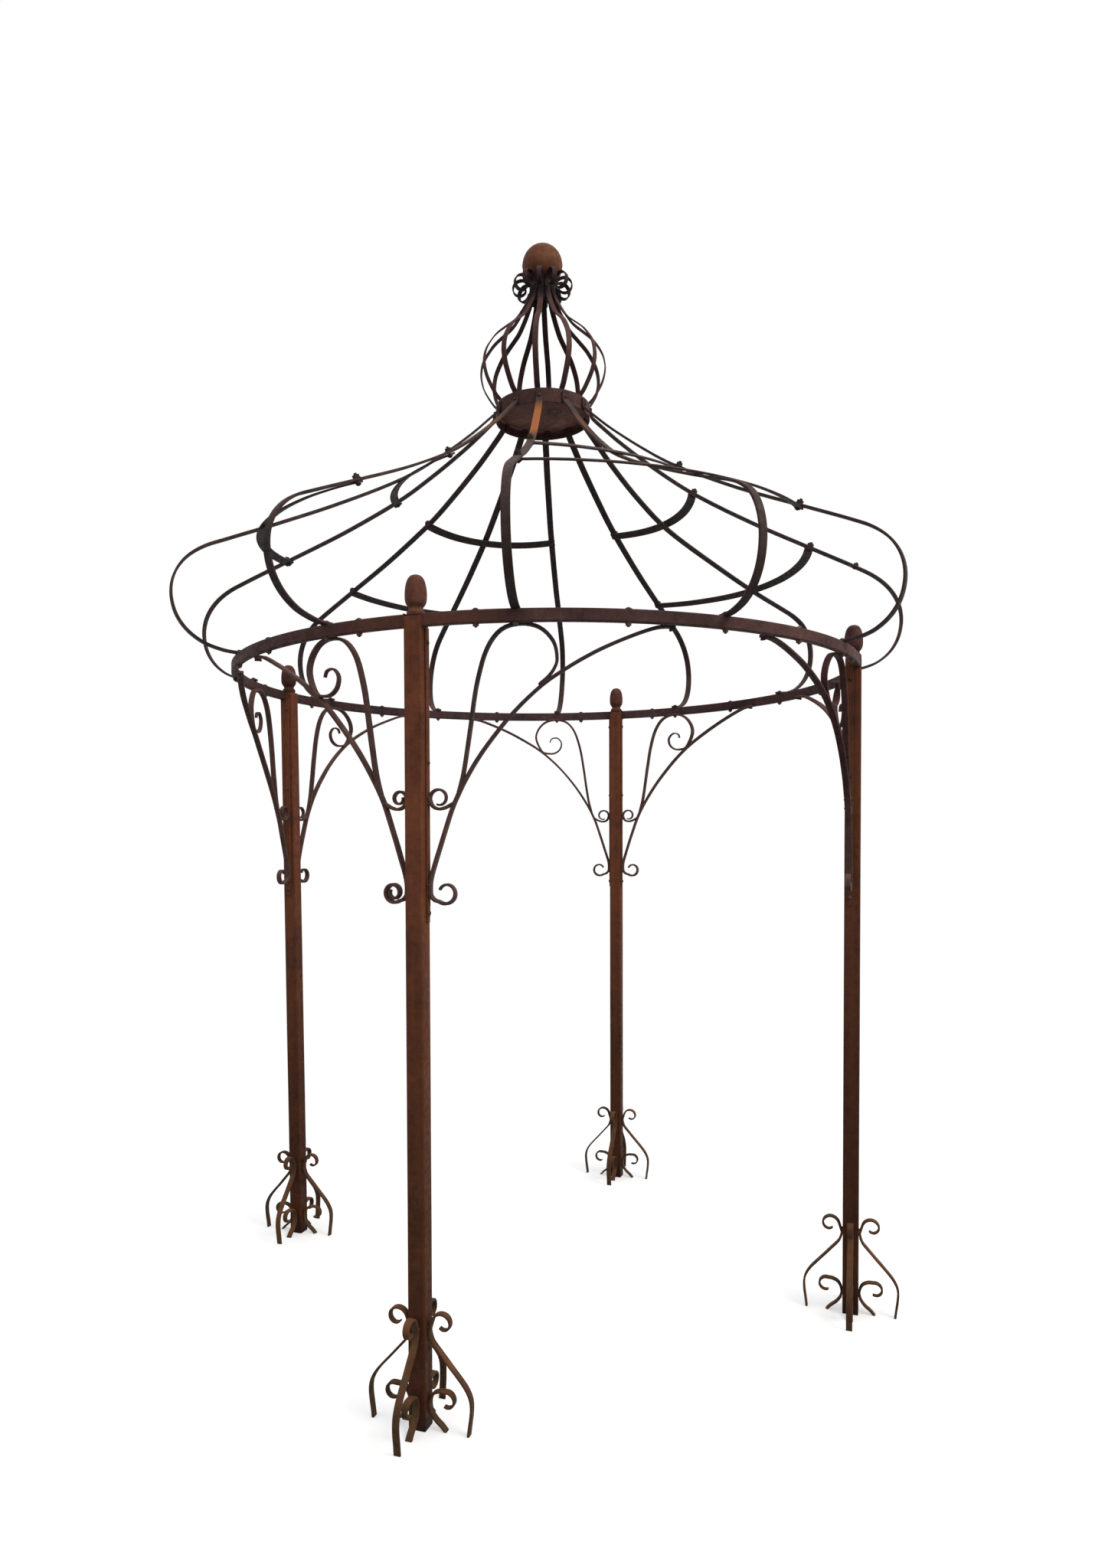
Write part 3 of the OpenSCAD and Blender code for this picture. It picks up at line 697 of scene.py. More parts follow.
turn("finials", [(finial_outline, on_post(c)) for c in corners],
     finial_rust, ["finial_" + c for c in corners])

# %% [markdown]
# ## Scroll feet
# Four tall scrolls and four low ones hold each post upright. A tall scroll curls over
# at the top, touches the post, then sweeps out and down to the ground. The bars are
# a little thinner at the curled ends, where they were drawn out before rolling.

# %% Feet
foot_h, foot_reach, foot_w, foot_t = 0.317, 0.151, 0.020, 0.007
foot_x = post_w / 2 + foot_t / 2
leg_top = [(foot_x + 0.003, 0.885 * foot_h), (foot_x, 0.845 * foot_h), (foot_x + 0.004, 0.79 * foot_h)]
leg_sweep = [(r * foot_reach, z * foot_h) for r, z in (
    (0.265, 0.745), (0.40, 0.672), (0.58, 0.575), (0.745, 0.49), (0.885, 0.41), (0.97, 0.335),
    (1.0, 0.265), (0.993, 0.18), (0.965, 0.08))]
leg_line = (spiral((foot_x + 0.039, 0.922 * foot_h), 0.014, 0.031, -130, 165, 24)
            + smooth(leg_top + leg_sweep + [(0.94 * foot_reach, -0.006)], 4))
toe_line = (spiral((foot_x + 0.050, 0.084), 0.018, 0.024, -115, 85, 18)
            + smooth([(foot_x + x, z) for x, z in (
                (0.030, 0.107), (0.012, 0.099), (0.002, 0.082), (0, 0.062), (0.005, 0.044),
                (0.018, 0.027), (0.036, 0.012), (0.050, -0.004))], 3))

def foot_bars(corner):
    bars = []
    for quarter in range(4):
        a = math.radians(90 * quarter)
        side = out_at(corners[corner] + 90 * quarter + 90)
        for line in (leg_line, toe_line):
            points = [standing(corner, p[0] * math.cos(a), p[0] * math.sin(a), p[1]) for p in line]
            full = [thin_end + (1 - thin_end) * min(1.0, i / 16) for i in range(len(points))]
            bars.append((points, [side] * len(points), full, False))
    return bars

forge("scroll_feet", [bar for c in corners for bar in foot_bars(c)], foot_w, foot_t, 0.0018,
      foot_rust, ["feet_" + c for c in corners], wander=0.0016, size=0.05, seed=5.0)

# %% [markdown]
# ## Ring beam
# The ring is a rectangular tube rolled to a circle and cut into four lengths, each
# welded between two posts. Its wide side stands upright.

# %% Ring
def ring_arc(start):
    gap = math.degrees(math.asin((post_w / 2 + 0.0002) / ring_r))
    outward = [out_at(a) for a in np.linspace(start + gap, start + 90 - gap, 60)]
    middle = (ring_bottom + ring_top) / 2
    return [at_height(e * ring_r, middle) for e in outward], outward, [1.0] * 60, False

forge("ring_beam", [ring_arc(a) for a in sides.values()], ring_d, ring_top - ring_bottom, 0.003,
      ring_rust, ["ring_" + s for s in sides], wander=0.0008, size=0.35, seed=3.0)

# %% [markdown]
# ## Ribs
# Twelve ribs rise from the ring, bulge out over it and sweep up to the collar. They
# were bent by hand over one pattern, so no two are quite alike: some reach out more,
# some swing sideways, and the middle one of a side hangs a little lower. The lists
# give each rib's own bend: millimetres more reach, of swing and of sag, and degrees
# of turn, for three ribs a side from the front round to the left.

# %% Ribs
rib_t, rib_w = 0.008, 0.024
eave_reach, eave_h, roof_h = 0.185, 0.368, 0.943
rib_more = [0, -25, 0, 0, -12, 0, 0, 0, 0, 4, 22, 15]
rib_swing = [-6, -4, 0, 0, 12, 20, -19, -32, 0, 0, 0, -14]
rib_sag = [0, 31, 0, 0, 46, 0, 0, 4, 0, 0, 11, 0]
rib_turn = [-0.5, 0, 0, 0, 0, 0, 0, 0, 0, 0, 0, -0.25]
collar_r = 0.172
seat_z = ring_top + rib_t / 2
top_z = seat_z + roof_h
top_r = collar_r + rib_t / 2
collar_h = collar_top - collar_low

def rib_points(i):
    more, sag = rib_more[i] / 1000, rib_sag[i] / 1000

    def eave(a, b, drop=0):
        return ring_r + a * (eave_reach + more), seat_z + b * eave_h - drop * sag

    def slope(a, b, drop):
        return top_r + a * (ring_r - top_r), top_z - b * roof_h - drop * sag

    return [(ring_r - 0.014, seat_z), (ring_r + 0.012, seat_z), eave(0.28, 0.018), eave(0.55, 0.07),
            eave(0.79, 0.172), eave(0.945, 0.31), eave(1, 0.48), eave(0.94, 0.64), eave(0.77, 0.782),
            eave(0.50, 0.90, 0.2), eave(0.12, 1, 0.4), slope(0.85, 0.532, 0.7), slope(0.623, 0.43, 0.8),
            slope(0.40, 0.314, 1), slope(0.255, 0.218, 0.85), slope(0.125, 0.119, 0.45),
            slope(0.045, 0.050, 0.1), (top_r + 0.007, top_z - 0.014), (top_r, top_z),
            (top_r, top_z + 0.4 * collar_h)]

chord = Vector((top_r - ring_r, 0, top_z - seat_z)).normalized()

def off_chord(p):
    # How far a drawn point bulges out from the straight line between the rib's two ends
    return (p[0] - ring_r) * chord.z - (p[1] - seat_z) * chord.x

eave_tip = off_chord((ring_r + eave_reach, seat_z + 0.48 * eave_h))
rib_lean = [math.asin(s / 1000 / eave_tip) for s in rib_swing]
rib_azimuth = [start + 15 + 30 * n + rib_turn[3 * k + n]
               for k, start in enumerate(sides.values()) for n in range(3)]

def on_rib(i, p, across=0.0, proud=(0, 0)):
    # A point of rib i's own drawing, moved across its width, in the gazebo's frame
    seat = Vector((ring_r, 0, seat_z))
    drawn = Vector((p[0] + proud[0], across, p[1] + proud[1]))
    v = Matrix.Rotation(rib_lean[i], 3, chord) @ (drawn - seat) + seat
    return Matrix.Rotation(math.radians(rib_azimuth[i]), 3, "Z") @ v

def rib_bar(i):
    line = smooth(rib_points(i), 5)
    side = (on_rib(i, (ring_r, seat_z), 1.0) - on_rib(i, (ring_r, seat_z))).normalized()
    return [on_rib(i, p) for p in line], [side] * len(line), [1.0] * len(line), False

forge("roof_ribs", [rib_bar(i) for i in range(12)], rib_w, rib_t, 0.0018, roof_rust,
      [f"rib_{s}_{n}" for s in sides for n in "abc"], wander=0.0018, size=0.16, seed=7.0)

# %% [markdown]
# ## Hoops
# Two hoops on each side tie the first and third rib together. A hoop is bolted under
# its two ribs, bows out over the middle one and hangs a little lower there, so it lies
# in a plane that tips outwards. Its width follows the slope of the ribs.

# %% Hoops
hoop_w, hoop_t, hoop_dip, hoop_gap = 0.031, 0.006, 0.014, 0.0002
low_joint, high_joint = 11, 13
low_bow, high_bow = (0.024, 0.036, 0.024, 0.056), 0.004
cos_30, sin_30 = math.cos(math.radians(30)), 0.5

def joint_shift(i, j):
    # How far a bent rib's joint lies to the side of where it was drawn
    p = rib_points(i)[j]
    return off_chord(p) * math.sin(rib_lean[i]) + p[0] * math.sin(math.radians(rib_turn[i]))

def rib_slope(i, j):
    P = [np.array(p) for p in rib_points(i)]
    return P[j], (P[j + 1] - P[j - 1]) / np.linalg.norm(P[j + 1] - P[j - 1])

def hoop_bar(k, j, bow):
    joint, s = rib_slope(3 * k, j)
    # The arc's own plane tips outwards: half its chord, its rise and its radius
    half, out = joint[0] * sin_30, joint[0] * (1 - cos_30) + bow
    tip, rise = math.atan2(hoop_dip, out), math.hypot(out, hoop_dip)
    R = (half ** 2 + rise ** 2) / (2 * rise)
    th = math.asin(half / R)
    x_axis, y_axis = Vector((math.cos(tip), 0, -math.sin(tip))), Vector((0, 1, 0))
    z_axis = Vector((math.sin(tip), 0, math.cos(tip)))
    # Where it is bolted: S runs up the rib, N stands on it, and the hoop lies clear below
    S = Vector((s[0] * cos_30, -s[0] * sin_30, s[1]))
    N = Vector((-s[1] * cos_30, s[1] * sin_30, s[0]))
    E = x_axis * math.cos(th) - y_axis * math.sin(th)
    run = x_axis * math.sin(th) + y_axis * math.cos(th)
    d = Vector((S.dot(E), S.dot(z_axis))).normalized()
    n = Vector((-d.y, d.x))
    skew = abs(run.dot(N)) * rib_w / 2 + abs((E * d.x + z_axis * d.y).dot(N)) * hoop_w / 2
    c = Vector((R, 0)) + n * ((rib_t + hoop_t) / 2 + skew + hoop_gap)
    first = -th - math.asin((rib_w / 2 - joint_shift(3 * k, j)) / R)
    last = th + math.asin((rib_w / 2 + joint_shift(3 * k + 2, j)) / R)
    turn_to_side = Matrix.Rotation(math.radians(list(sides.values())[k] + 45), 3, "Z")
    middle = Vector((joint[0] * cos_30, 0, joint[1]))
    points, across = [], []
    for a in np.linspace(first, last, 44):
        e = x_axis * math.cos(a) + y_axis * math.sin(a)
        points.append(turn_to_side @ (middle + x_axis * (rise - R) + e * c.x + z_axis * c.y))
        across.append(turn_to_side @ (e * d.x + z_axis * d.y))
    return points, across, [1.0] * 44, False

hoop_bars = [hoop_bar(k, j, bow) for k in range(4)
             for j, bow in ((low_joint, low_bow[k]), (high_joint, high_bow))]
forge("roof_hoops", hoop_bars, hoop_w, hoop_t, 0.0016, roof_rust,
      ["hoops_" + s for s in sides], wander=0.0016, size=0.12, seed=9.0)

# %% [markdown]
# ## Brackets
# A pair of brackets fills the corner between each post and the ring. Each is one long
# sweep, one loop that stands on it and rolls into a scroll, and a small curl that
# touches the post, all welded to a bar on the post's side. They are bent to the ring,
# so their flat drawing is wrapped round a circle just inside it. One loop has lost its
# inner scroll and ends on the sweep, and one bracket is coiled tighter than the rest.

# %% Bracket drawing
bracket_w, bracket_t, back_t = 0.020, 0.009, 0.005
bracket_reach, bracket_drop, bracket_lap = 0.700, 0.795, 0.005
bracket_r = ring_r - ring_d / 2 - bracket_w / 2
bracket_top = ring_bottom + bracket_lap
# Where a bar runs that touches the post's back bar, and one that touches the ring
hug = post_w / 2 + back_t + bracket_t / 2 - 0.0005
under = 1000 * (bracket_t / 2) / bracket_drop

def bk(u, v):
    # A drawn point, in thousandths of the reach and of the drop
    return u * bracket_reach / 1000, bracket_top - v * bracket_drop / 1000

def drawn(*points):
    return [bk(u, v) for u, v in points]

def coil(centre, r, a0, a1, n):
    # A tight coil, whose turns lie just clear of each other
    return spiral(centre, r, r - 1.25 * bracket_t * abs(a1 - a0) / 360, a0, a1, n)

sweep_end = np.array((hug, bk(0, 897)[1]))
sweep_bend = smooth(drawn(
    (1000, under), (929, 12), (829, 43), (714, 87), (600, 142), (491, 206), (380, 297), (278, 405),
    (204, 503), (150, 594), (109, 694), (75, 786), (52, 853))
    + [sweep_end, sweep_end + (0.004, -0.012), sweep_end + (0.014, -0.021)], 4)
sweep_line = sweep_bend + spiral(sweep_end + (0.045, -0.001), 0.030, 0.020, 232, 515, 24)
tight_sweep = sweep_bend + coil(sweep_end + (0.041, -0.001), 0.028, 232, 752, 44)

loop_rise = drawn((166, 562), (186, 495), (204, 400), (221, 299), (243, 185), (279, 84),
                  (333, 24), (407, under), (479, 20), (529, 65), (543, 121))
loop_line = smooth(loop_rise + drawn((503, 192), (460, 206), (416, 204), (381, 180), (372, 142),
                                     (400, 114), (437, 118), (449, 140)), 4)
short_line = smooth(loop_rise + drawn((532, 154), (507, 183), (478, 205)), 4)

curl_top = np.array((hug, bk(0, 584)[1]))
curl_bend = smooth(drawn((145, 596), (117, 609), (87, 615), (61, 606)) + [curl_top], 3)
curl_line = curl_bend + spiral(curl_top + (0.026, 0.004), 0.026, 0.017, 178, -110, 24)
tight_curl = curl_bend + coil(curl_top + (0.022, 0.004), 0.022, 178, -200, 32)
print("bracket lines:", len(sweep_line), len(loop_line), len(curl_line), "points")

# %% [markdown]
# The eight brackets are the same drawing, wrapped one way or the other round from a
# post. Each tapers towards its scrolls, over a share of its length.

# %% Brackets on the posts
bracket_list = [("front_a", "front_left", 1), ("front_b", "front_right", -1),
                ("right_a", "front_right", 1), ("right_b", "back_right", -1),
                ("back_a", "back_right", 1), ("back_b", "back_left", -1),
                ("left_a", "back_left", 1), ("left_b", "front_left", -1)]
tight_one, broken_one = "left_b", "front_a"

def on_bracket(corner, way, s, z, inward=0.0):
    e = out_at(corners[corner] + way * math.degrees(s / bracket_r))
    return at_height(e * (bracket_r - inward), z), e

def bracket_bars(name, corner, way):
    sweep, curl = (tight_sweep, tight_curl) if name == tight_one else (sweep_line, curl_line)
    loop, loop_end = (short_line, 0.9) if name == broken_one else (loop_line, 0.55)
    bars = []
    for line, first, last, share in ((sweep, 1.0, thin_end, 0.22), (loop, 1.0, loop_end, 0.45),
                                     (curl, 0.9, 0.6, 0.8)):
        points, across = zip(*(on_bracket(corner, way, p[0], p[1]) for p in line))
        bars.append((list(points), list(across), fade(len(line), first, last, share), False))
    return bars

forge("brackets", [bar for b in bracket_list for bar in bracket_bars(*b)], bracket_w, bracket_t,
      0.0022, bracket_rust, ["bracket_" + b[0] for b in bracket_list],
      wander=0.0026, size=0.09, seed=11.0)

def back_bar(corner, way):
    heights = np.linspace(bracket_top - bracket_drop, ring_bottom, 16)
    e, across = out_at(corners[corner]), out_at(corners[corner] + 90)
    flat = e * bracket_r + across * way * (post_w / 2 + back_t / 2)
    return [at_height(flat, z) for z in heights], [e] * 16, [thin_end] + [1.0] * 15, False

forge("bracket_back_bars", [back_bar(c, way) for name, c, way in bracket_list], bracket_w, back_t,
      0.0015, post_rust, wander=0.0005, size=0.2, seed=12.0)

# %% [markdown]
# ## Crown
# The ribs end on a collar band. Twelve lighter bars rise from inside it, swell into
# an onion and close on a neck, where each rolls out into a scroll under the ball.

# %% Collar and cage
band_t = 0.005
band_outward = [out_at(a) for a in np.linspace(0, 360, 97)[:-1]]
band_r, band_z = collar_r - band_t / 2, (collar_low + collar_top) / 2
band_line = [at_height(e * band_r, band_z) for e in band_outward]
forge("collar", [(band_line, band_outward, [1.0] * 96, True)], band_t, collar_h, 0.0014, crown_rust,
      ["collar_band"], wander=0.0012, size=0.09, seed=13.0)

cage_w, cage_t, cage_h, cage_r, neck_r = 0.020, 0.005, 0.434, 0.229, 0.044
cage_turn = -3
cage_foot_r = math.sqrt((collar_r - band_t) ** 2 - (cage_w / 2) ** 2) - cage_t / 2
cage_top = collar_top + cage_h
cage_swell = [(cage_foot_r + r * (cage_r - cage_foot_r), v) for r, v in (
    (0.27, 0.045), (0.60, 0.12), (0.85, 0.195))]
cage_close = [(r * cage_r, v) for r, v in (
    (0.995, 0.285), (0.985, 0.36), (0.945, 0.425), (0.87, 0.49), (0.775, 0.553), (0.64, 0.615),
    (0.535, 0.66), (0.459, 0.70), (0.355, 0.78), (0.27, 0.86))] + [(neck_r + 0.005, 0.935)]
cage_line = smooth([(cage_foot_r, collar_low + 0.004), (cage_foot_r, collar_top - 0.006),
                    (cage_foot_r + 0.004, collar_top + 0.006)]
                   + [(r, collar_top + v * cage_h) for r, v in cage_swell + cage_close]
                   + [(neck_r, cage_top - 0.010)], 4)
cage_line += spiral((neck_r + 0.036, cage_top), 0.036, 0.020, 172, -170, 26)

def cage_bar(i):
    e, across = out_at(30 * i + cage_turn), out_at(30 * i + 90 + cage_turn)
    return ([at_height(e * p[0], p[1]) for p in cage_line], [across] * len(cage_line),
            fade(len(cage_line), 1.0, 0.8, 0.3), False)

forge("onion_cage", [cage_bar(i) for i in range(12)], cage_w, cage_t, 0.0015, crown_rust,
      ["cage_bars"], wander=0.0022, size=0.1, seed=15.0)

# %% [markdown]
# The neck, the ball and the plate inside the collar are turned shapes. Their sizes
# come from the solids, with a small edge taken off the sharp corners.

# %% Neck, ball and plate
neck_wall, neck_foot, neck_edge = 0.008, 0.020, 0.002
plate_edge, ball_seam = 0.001, 0.0008

def upright(x, y, z):
    return Vector((x, y, z))

neck_low, neck_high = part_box("crown_neck")
neck_out = (neck_high.x - neck_low.x) / 2
neck_in = neck_out - neck_wall
neck_line = [(neck_in, neck_low.z), (neck_out, neck_low.z), (neck_out, neck_low.z + neck_foot),
             (neck_out, neck_high.z - 0.001), (neck_out - neck_edge, neck_high.z),
             (neck_in, neck_high.z)]
turn("crown_neck_tube", [(neck_line, upright)], crown_rust, ["crown_neck"])

ball_low, ball_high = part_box("crown_ball")
ball_r, ball_z = (ball_high.x - ball_low.x) / 2, (ball_high.z + ball_low.z) / 2
ball_line = [(0, ball_z - ball_r)]
for a in range(5, 180, 5):
    ball_line.append((ball_r * math.sin(math.radians(a)) + (ball_seam if a == 90 else 0),
                      ball_z - ball_r * math.cos(math.radians(a))))
ball_line.append((0, ball_z + ball_r))
turn("top_ball", [(ball_line, upright)], ball_rust, ["crown_ball"], steps=64)

plate_low, plate_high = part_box("collar_plate")
plate_line = [(0, plate_low.z), (plate_high.x - plate_edge, plate_low.z),
              (plate_high.x, plate_low.z + plate_edge), (plate_high.x, plate_high.z - plate_edge),
              (plate_high.x - plate_edge, plate_high.z), (0, plate_high.z)]
turn("collar_plate_disc", [(plate_line, upright)], plate_rust, ["collar_plate"])

# %% [markdown]
# ## Bolts and nuts
# Ribs, hoops, ring and bracket bars are held by coach bolts: a low domed head with a
# washer on one side, a hexagon nut and the bolt's end on the other. They repeat more
# than a hundred times, so a second Geometry Nodes tree sets them on points. Each
# point carries `axis`, the way that the fastener faces, `nut`, whether it is a nut,
# and `size`. A fixed seed turns each one a little about its axis and makes it a
# little larger or smaller, as odd bolts from a tin are.

# %% The fastener tree
head_kind, nut_kind = 0, 1
fastening, b_in, b_out = new_tree(
    "bolts_and_nuts", ("Head Radius", "Float", 0.0085), ("Head Height", "Float", 0.006),
    ("Nut Height", "Float", 0.0075), ("Seed", "Int", 4), ("Material", "Material"))
b_radius, b_head, b_nut = (b_in[n] for n in ("Head Radius", "Head Height", "Nut Height"))

def times(tree, a, factor):
    return worked(tree, "Math", "MULTIPLY", a, factor)

def disc(sides_count, wide, height, deep, rise):
    # A disc of the fastener: its size in bolt radii and in heights, and how far up it sits
    tube = node(fastening, "GeometryNodeMeshCylinder", fill_type="NGON", Vertices=sides_count)
    lift, moved = node(fastening, "ShaderNodeCombineXYZ"), node(fastening, "GeometryNodeTransform")
    depth = times(fastening, height, deep)
    wire(fastening, (times(fastening, b_radius, wide), tube, "Radius"), (depth, tube, "Depth"),
         (times(fastening, depth, rise), lift, "Z"), (tube.outputs["Mesh"], moved, "Geometry"),
         (lift, moved, "Translation"))
    return moved.outputs[0]

b_ball = node(fastening, "GeometryNodeMeshUVSphere", Radius=1.0, Segments=10, Rings=6)
b_shape, b_squash = node(fastening, "ShaderNodeCombineXYZ"), node(fastening, "GeometryNodeTransform")
b_dome = node(fastening, "GeometryNodeSetShadeSmooth")
wire(fastening, (times(fastening, b_radius, 0.92), b_shape, "X"),
     (times(fastening, b_radius, 0.92), b_shape, "Y"), (b_head, b_shape, "Z"),
     (b_ball.outputs["Mesh"], b_squash, "Geometry"), (b_shape, b_squash, "Scale"),
     (b_squash, b_dome, 0))
# A dome on a washer with its shank below, and a hexagon on a washer with the bolt's end
head_parts = (b_dome.outputs[0], disc(16, 1.15, b_head, 0.25, 0.5), disc(8, 0.45, b_head, 2.4, -0.5))
nut_parts = (disc(6, 1.0, b_nut, 1.0, 0.5), disc(16, 1.15, b_nut, 0.2, 0.5),
             disc(8, 0.45, b_nut, 1.5, 0.5))
b_kinds = []
for parts in (head_parts, nut_parts):
    whole = node(fastening, "GeometryNodeJoinGeometry")
    one = node(fastening, "GeometryNodeGeometryToInstance")
    wire(fastening, *((part, whole, 0) for part in parts), (whole, one, 0))
    b_kinds.append(one.outputs[0])
b_both = node(fastening, "GeometryNodeJoinGeometry")
wire(fastening, *((kind, b_both, 0) for kind in reversed(b_kinds)))
print("kinds of fastener:", len(b_kinds))

# %% [markdown]
# The two kinds wait as instances, and `nut` picks one of them for each point.

# %% Fasteners on points
b_place = node(fastening, "GeometryNodeInstanceOnPoints", Pick_Instance=True)
b_face = node(fastening, "FunctionNodeAlignRotationToVector", axis="Z")
b_spin = node(fastening, "FunctionNodeRotateRotation", rotation_space="LOCAL")
b_euler = node(fastening, "FunctionNodeEulerToRotation")
b_any = node(fastening, "FunctionNodeRandomValue", data_type="FLOAT_VECTOR",
             Min=(-0.05, -0.05, 0.0), Max=(0.05, 0.05, 3.1))
b_size = node(fastening, "FunctionNodeRandomValue", data_type="FLOAT")
b_size.inputs[2].default_value, b_size.inputs[3].default_value = 0.92, 1.08
wire(fastening, (b_in["Geometry"], b_place, "Points"), (b_both, b_place, "Instance"),
     (named(fastening, "INT", "nut"), b_place, "Instance Index"),
     (named(fastening, "FLOAT_VECTOR", "axis"), b_face, "Vector"), (b_face, b_spin, 0),
     (b_any, b_euler, 0), (b_euler, b_spin, 1), (b_spin, b_place, "Rotation"),
     (b_in["Seed"], b_any, "Seed"), (b_in["Seed"], b_size, "Seed"),
     (times(fastening, named(fastening, "FLOAT", "size"), b_size.outputs[1]), b_place, "Scale"))
ended(fastening, b_place, b_in["Material"], b_out)

# %% [markdown]
# The points come from the same drawings as the bars, so every head and every nut sits
# on the face of its own bar. A small function turns a list into a mesh of points.

# %% Bolts on each group
def fasten(name, fasteners, paint, seed):
    # fasteners: (place, axis, kind, size)
    places, axes, kinds, sizes = zip(*fasteners)
    thing = raw(name + "_points", places, axis=("FLOAT_VECTOR", axes), nut=("INT", kinds),
                size=("FLOAT", sizes))
    finished(applied(thing, fastening, name, Seed=seed, Material=paint))

skyward, downward = Vector((0, 0, 1)), Vector((0, 0, -1))

def through_ring(azimuth, radius, pad, size):
    # The head stands on the ring, or on what lies this thick on it, and the nut is under it
    place = out_at(azimuth) * radius
    return [(at_height(place, ring_top + pad), skyward, head_kind, size),
            (at_height(place, ring_bottom), downward, nut_kind, size)]

ring_steps, rib_bolt_r = (9, 30, 60, 81), ring_r - 0.001
ring_set = []
for start in sides.values():
    for step in ring_steps:
        ring_set += through_ring(start + step, ring_r, 0, 1.0)
for azimuth in rib_azimuth:
    ring_set += through_ring(azimuth, rib_bolt_r, rib_t, 0.95)
fasten("ring_bolts", ring_set, bolt_rust, 4)

big_nut, under_hoop = 1.3, rib_t / 2 + hoop_t + 0.002

def through_rib(i, j, below, size):
    # At the drawing's point j: a big nut on rib i, and the head this far below its middle
    p, s = rib_slope(i, j)
    face = (on_rib(i, p, 0, (s[1], -s[0])) - on_rib(i, p)).normalized()
    return [(on_rib(i, p) + face * rib_t / 2, face, nut_kind, big_nut * size),
            (on_rib(i, p) - face * below, -face, head_kind, size)]

roof_set = []
for k in range(4):
    for j in (low_joint, high_joint):
        for i in (3 * k, 3 * k + 2):
            roof_set += through_rib(i, j, under_hoop, 1.0)
# One more bolt goes through a rib where its eave turns up the roof
roof_set += through_rib(3, 10, rib_t / 2, 0.9)
fasten("roof_bolts", roof_set, roof_rust, 5)

crown_set = [(on_rib(i, (top_r, top_z + 0.002)) + out_at(azimuth) * rib_t / 2, out_at(azimuth),
              head_kind, 0.8) for i, azimuth in enumerate(rib_azimuth)]
fasten("collar_bolts", crown_set, crown_rust, 6)

bracket_bolt_z = (bracket_top - bracket_drop + 0.026, bracket_top - 0.365, bracket_top - 0.045)
bracket_set = []
for name, corner, way in bracket_list:
    e, across = out_at(corners[corner]), out_at(corners[corner] + 90) * way
    for z in bracket_bolt_z:
        bracket_set.append((at_height(e * bracket_r + across * (post_w / 2 + back_t), z), across,
                            head_kind, 0.8))
fasten("bracket_bolts", bracket_set, bracket_rust, 7)
print("fasteners:", len(ring_set) + len(roof_set) + len(crown_set) + len(bracket_set))

# %% [markdown]
# ## Weld beads
# The smith welded where bolts would not reach: the ring to the posts, the feet to the
# posts and the scrolls to each other. A weld is a row of overlapping blobs, so a third
# tree resamples a line and sets an uneven blob at each step. Real beads are lumpy, and
# the overlap reads as one run from arm's length.

# %% The weld tree
welding, w_in, w_out = new_tree("weld_beads", ("Bead Radius", "Float", 0.0035), ("Seed", "Int", 9),
                                ("Material", "Material"))
w_line = node(welding, "GeometryNodeMeshToCurve")
w_steps = node(welding, "GeometryNodeResampleCurve", mode="LENGTH")
w_blob = node(welding, "GeometryNodeMeshUVSphere", Radius=1.0, Segments=7, Rings=5)
w_soft = node(welding, "GeometryNodeSetShadeSmooth")
w_place = node(welding, "GeometryNodeInstanceOnPoints")
w_any = node(welding, "FunctionNodeRandomValue", data_type="FLOAT_VECTOR",
             Min=(0.7, 0.7, 0.7), Max=(1.25, 1.25, 1.25))
w_turn = node(welding, "FunctionNodeRandomValue", data_type="FLOAT_VECTOR",
              Min=(0, 0, 0), Max=(3.1, 3.1, 3.1))
w_euler = node(welding, "FunctionNodeEulerToRotation")
w_scale = node(welding, "ShaderNodeVectorMath", operation="SCALE")
wire(welding, (w_in["Geometry"], w_line, 0), (w_line, w_steps, "Curve"),
     (times(welding, w_in["Bead Radius"], 1.15), w_steps, "Length"), (w_steps, w_place, "Points"),
     (w_blob.outputs["Mesh"], w_soft, 0), (w_soft, w_place, "Instance"), (w_any, w_scale, 0),
     (w_in["Bead Radius"], w_scale, "Scale"), (w_scale, w_place, "Scale"), (w_turn, w_euler, 0),
     (w_euler, w_place, "Rotation"), (w_in["Seed"], w_any, "Seed"), (w_in["Seed"], w_turn, "Seed"))
ended(welding, w_place, w_in["Material"], w_out)

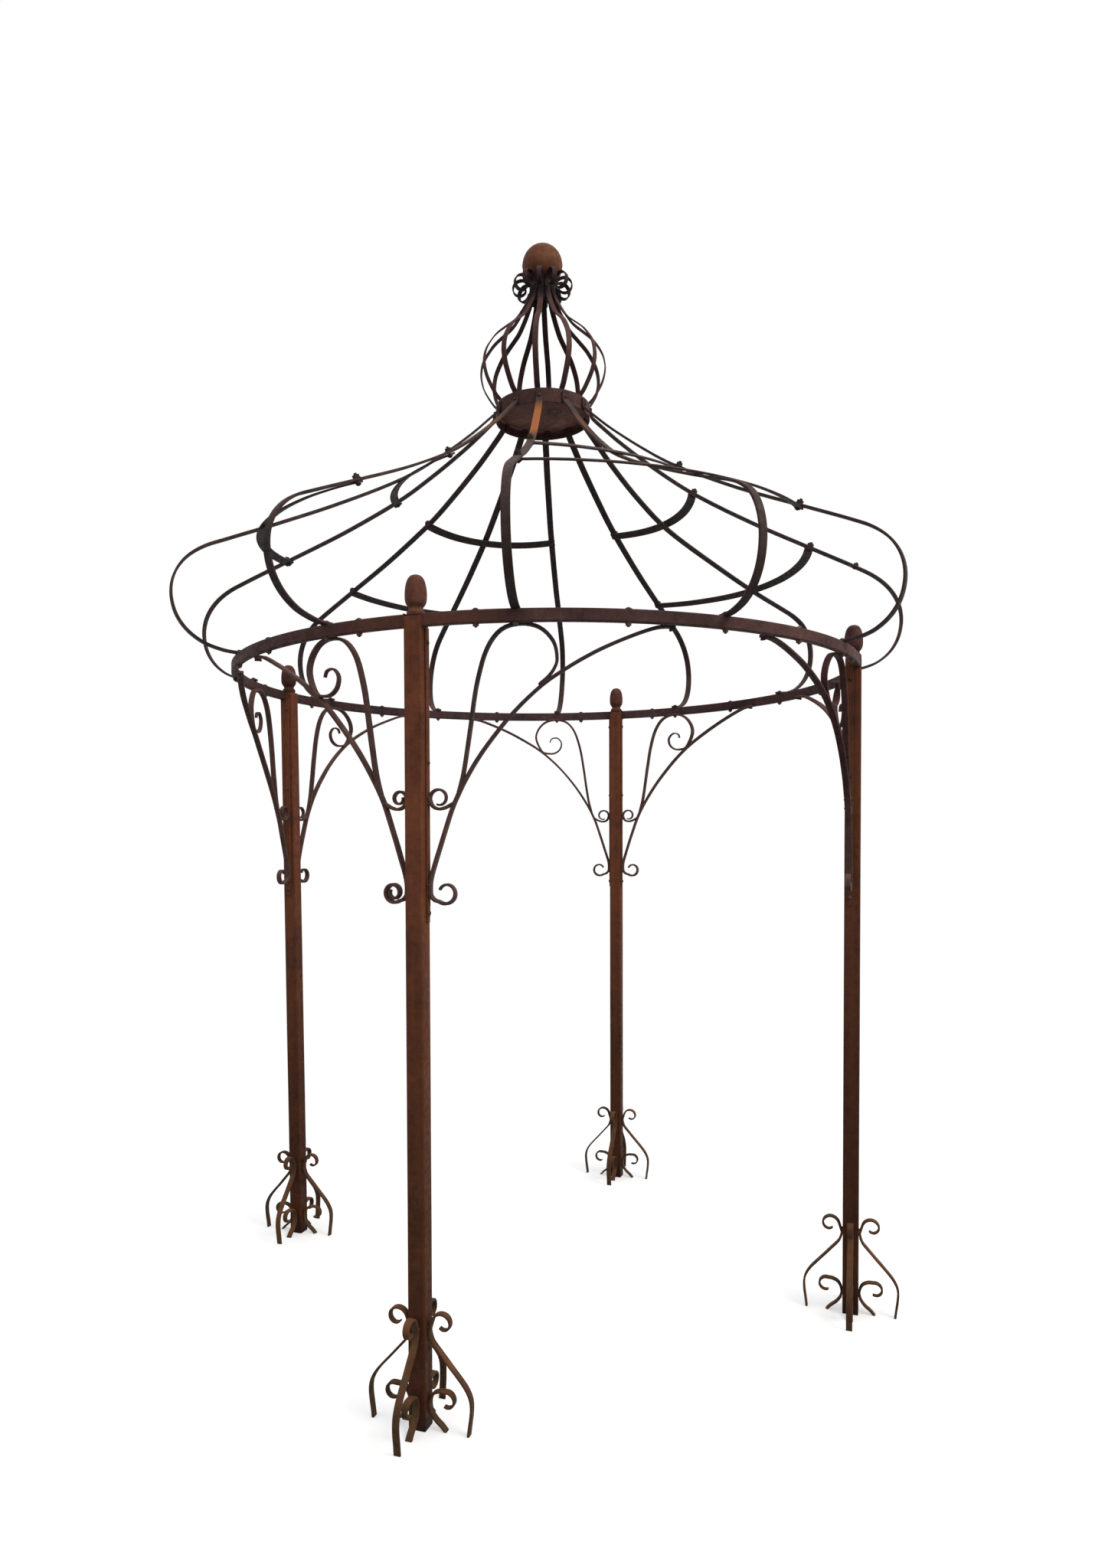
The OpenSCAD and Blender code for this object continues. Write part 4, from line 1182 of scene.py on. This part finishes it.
# %% [markdown]
# A weld on the ring goes once round its end. On the brackets and the feet it is a
# short run across the bar, wherever one bar touches the next.

# %% Welds on the ring, brackets and feet
def weld(name, lines, radius, paint, seed):
    verts, edges = [], []
    for line in lines:
        edges += [(len(verts) + i, len(verts) + i + 1) for i in range(len(line) - 1)]
        verts += line
    thing = raw(name + "_lines", verts, edges)
    finished(applied(thing, welding, name, Bead_Radius=radius, Seed=seed, Material=paint))

ring_end = [(ring_r + x * ring_d / 2, z) for x, z in (
    (-1, ring_bottom), (1, ring_bottom), (1, ring_top), (-1, ring_top), (-1, ring_bottom))]
ring_lines = []
for start in sides.values():
    for end, way in ((start, 1), (start + 90, -1)):
        a = end + way * math.degrees(math.asin((post_w / 2 + 0.0005) / ring_r))
        ring_lines.append([at_height(out_at(a) * r, z) for r, z in ring_end])
weld("ring_welds", ring_lines, 0.0028, ring_rust, 9)

weld_half = 0.008
bracket_joints = drawn((166, 562), (144, 597)) + [
    (hug - 0.003, bk(0, 584)[1] + 0.006), (hug - 0.003, bk(0, 584)[1] - 0.012),
    (hug - 0.003, sweep_end[1] + 0.02), bk(990, under + 10)]
bracket_lines = []
for name, corner, way in bracket_list:
    for s, z in bracket_joints + (drawn((478, 205)) if name == broken_one else []):
        bracket_lines.append([on_bracket(corner, way, s, z, inward)[0]
                              for inward in (weld_half, 0.0, -weld_half)])
weld("bracket_welds", bracket_lines, 0.0042, bracket_rust, 10)

foot_joints = ((foot_x - 0.002, 0.845 * foot_h + 0.012), (foot_x + 0.002, 0.845 * foot_h - 0.014),
               (foot_x + 0.001, 0.078), (foot_x + 0.002, 0.048))
foot_lines = []
for corner in corners:
    for quarter in range(4):
        x, y = math.cos(math.radians(90 * quarter)), math.sin(math.radians(90 * quarter))
        for out, z in foot_joints:
            foot_lines.append([standing(corner, x * out - y * w, y * out + x * w, z)
                               for w in (-weld_half, weld_half)])
weld("foot_welds", foot_lines, 0.0036, foot_rust, 11)
print("weld runs:", len(ring_lines) + len(bracket_lines) + len(foot_lines))
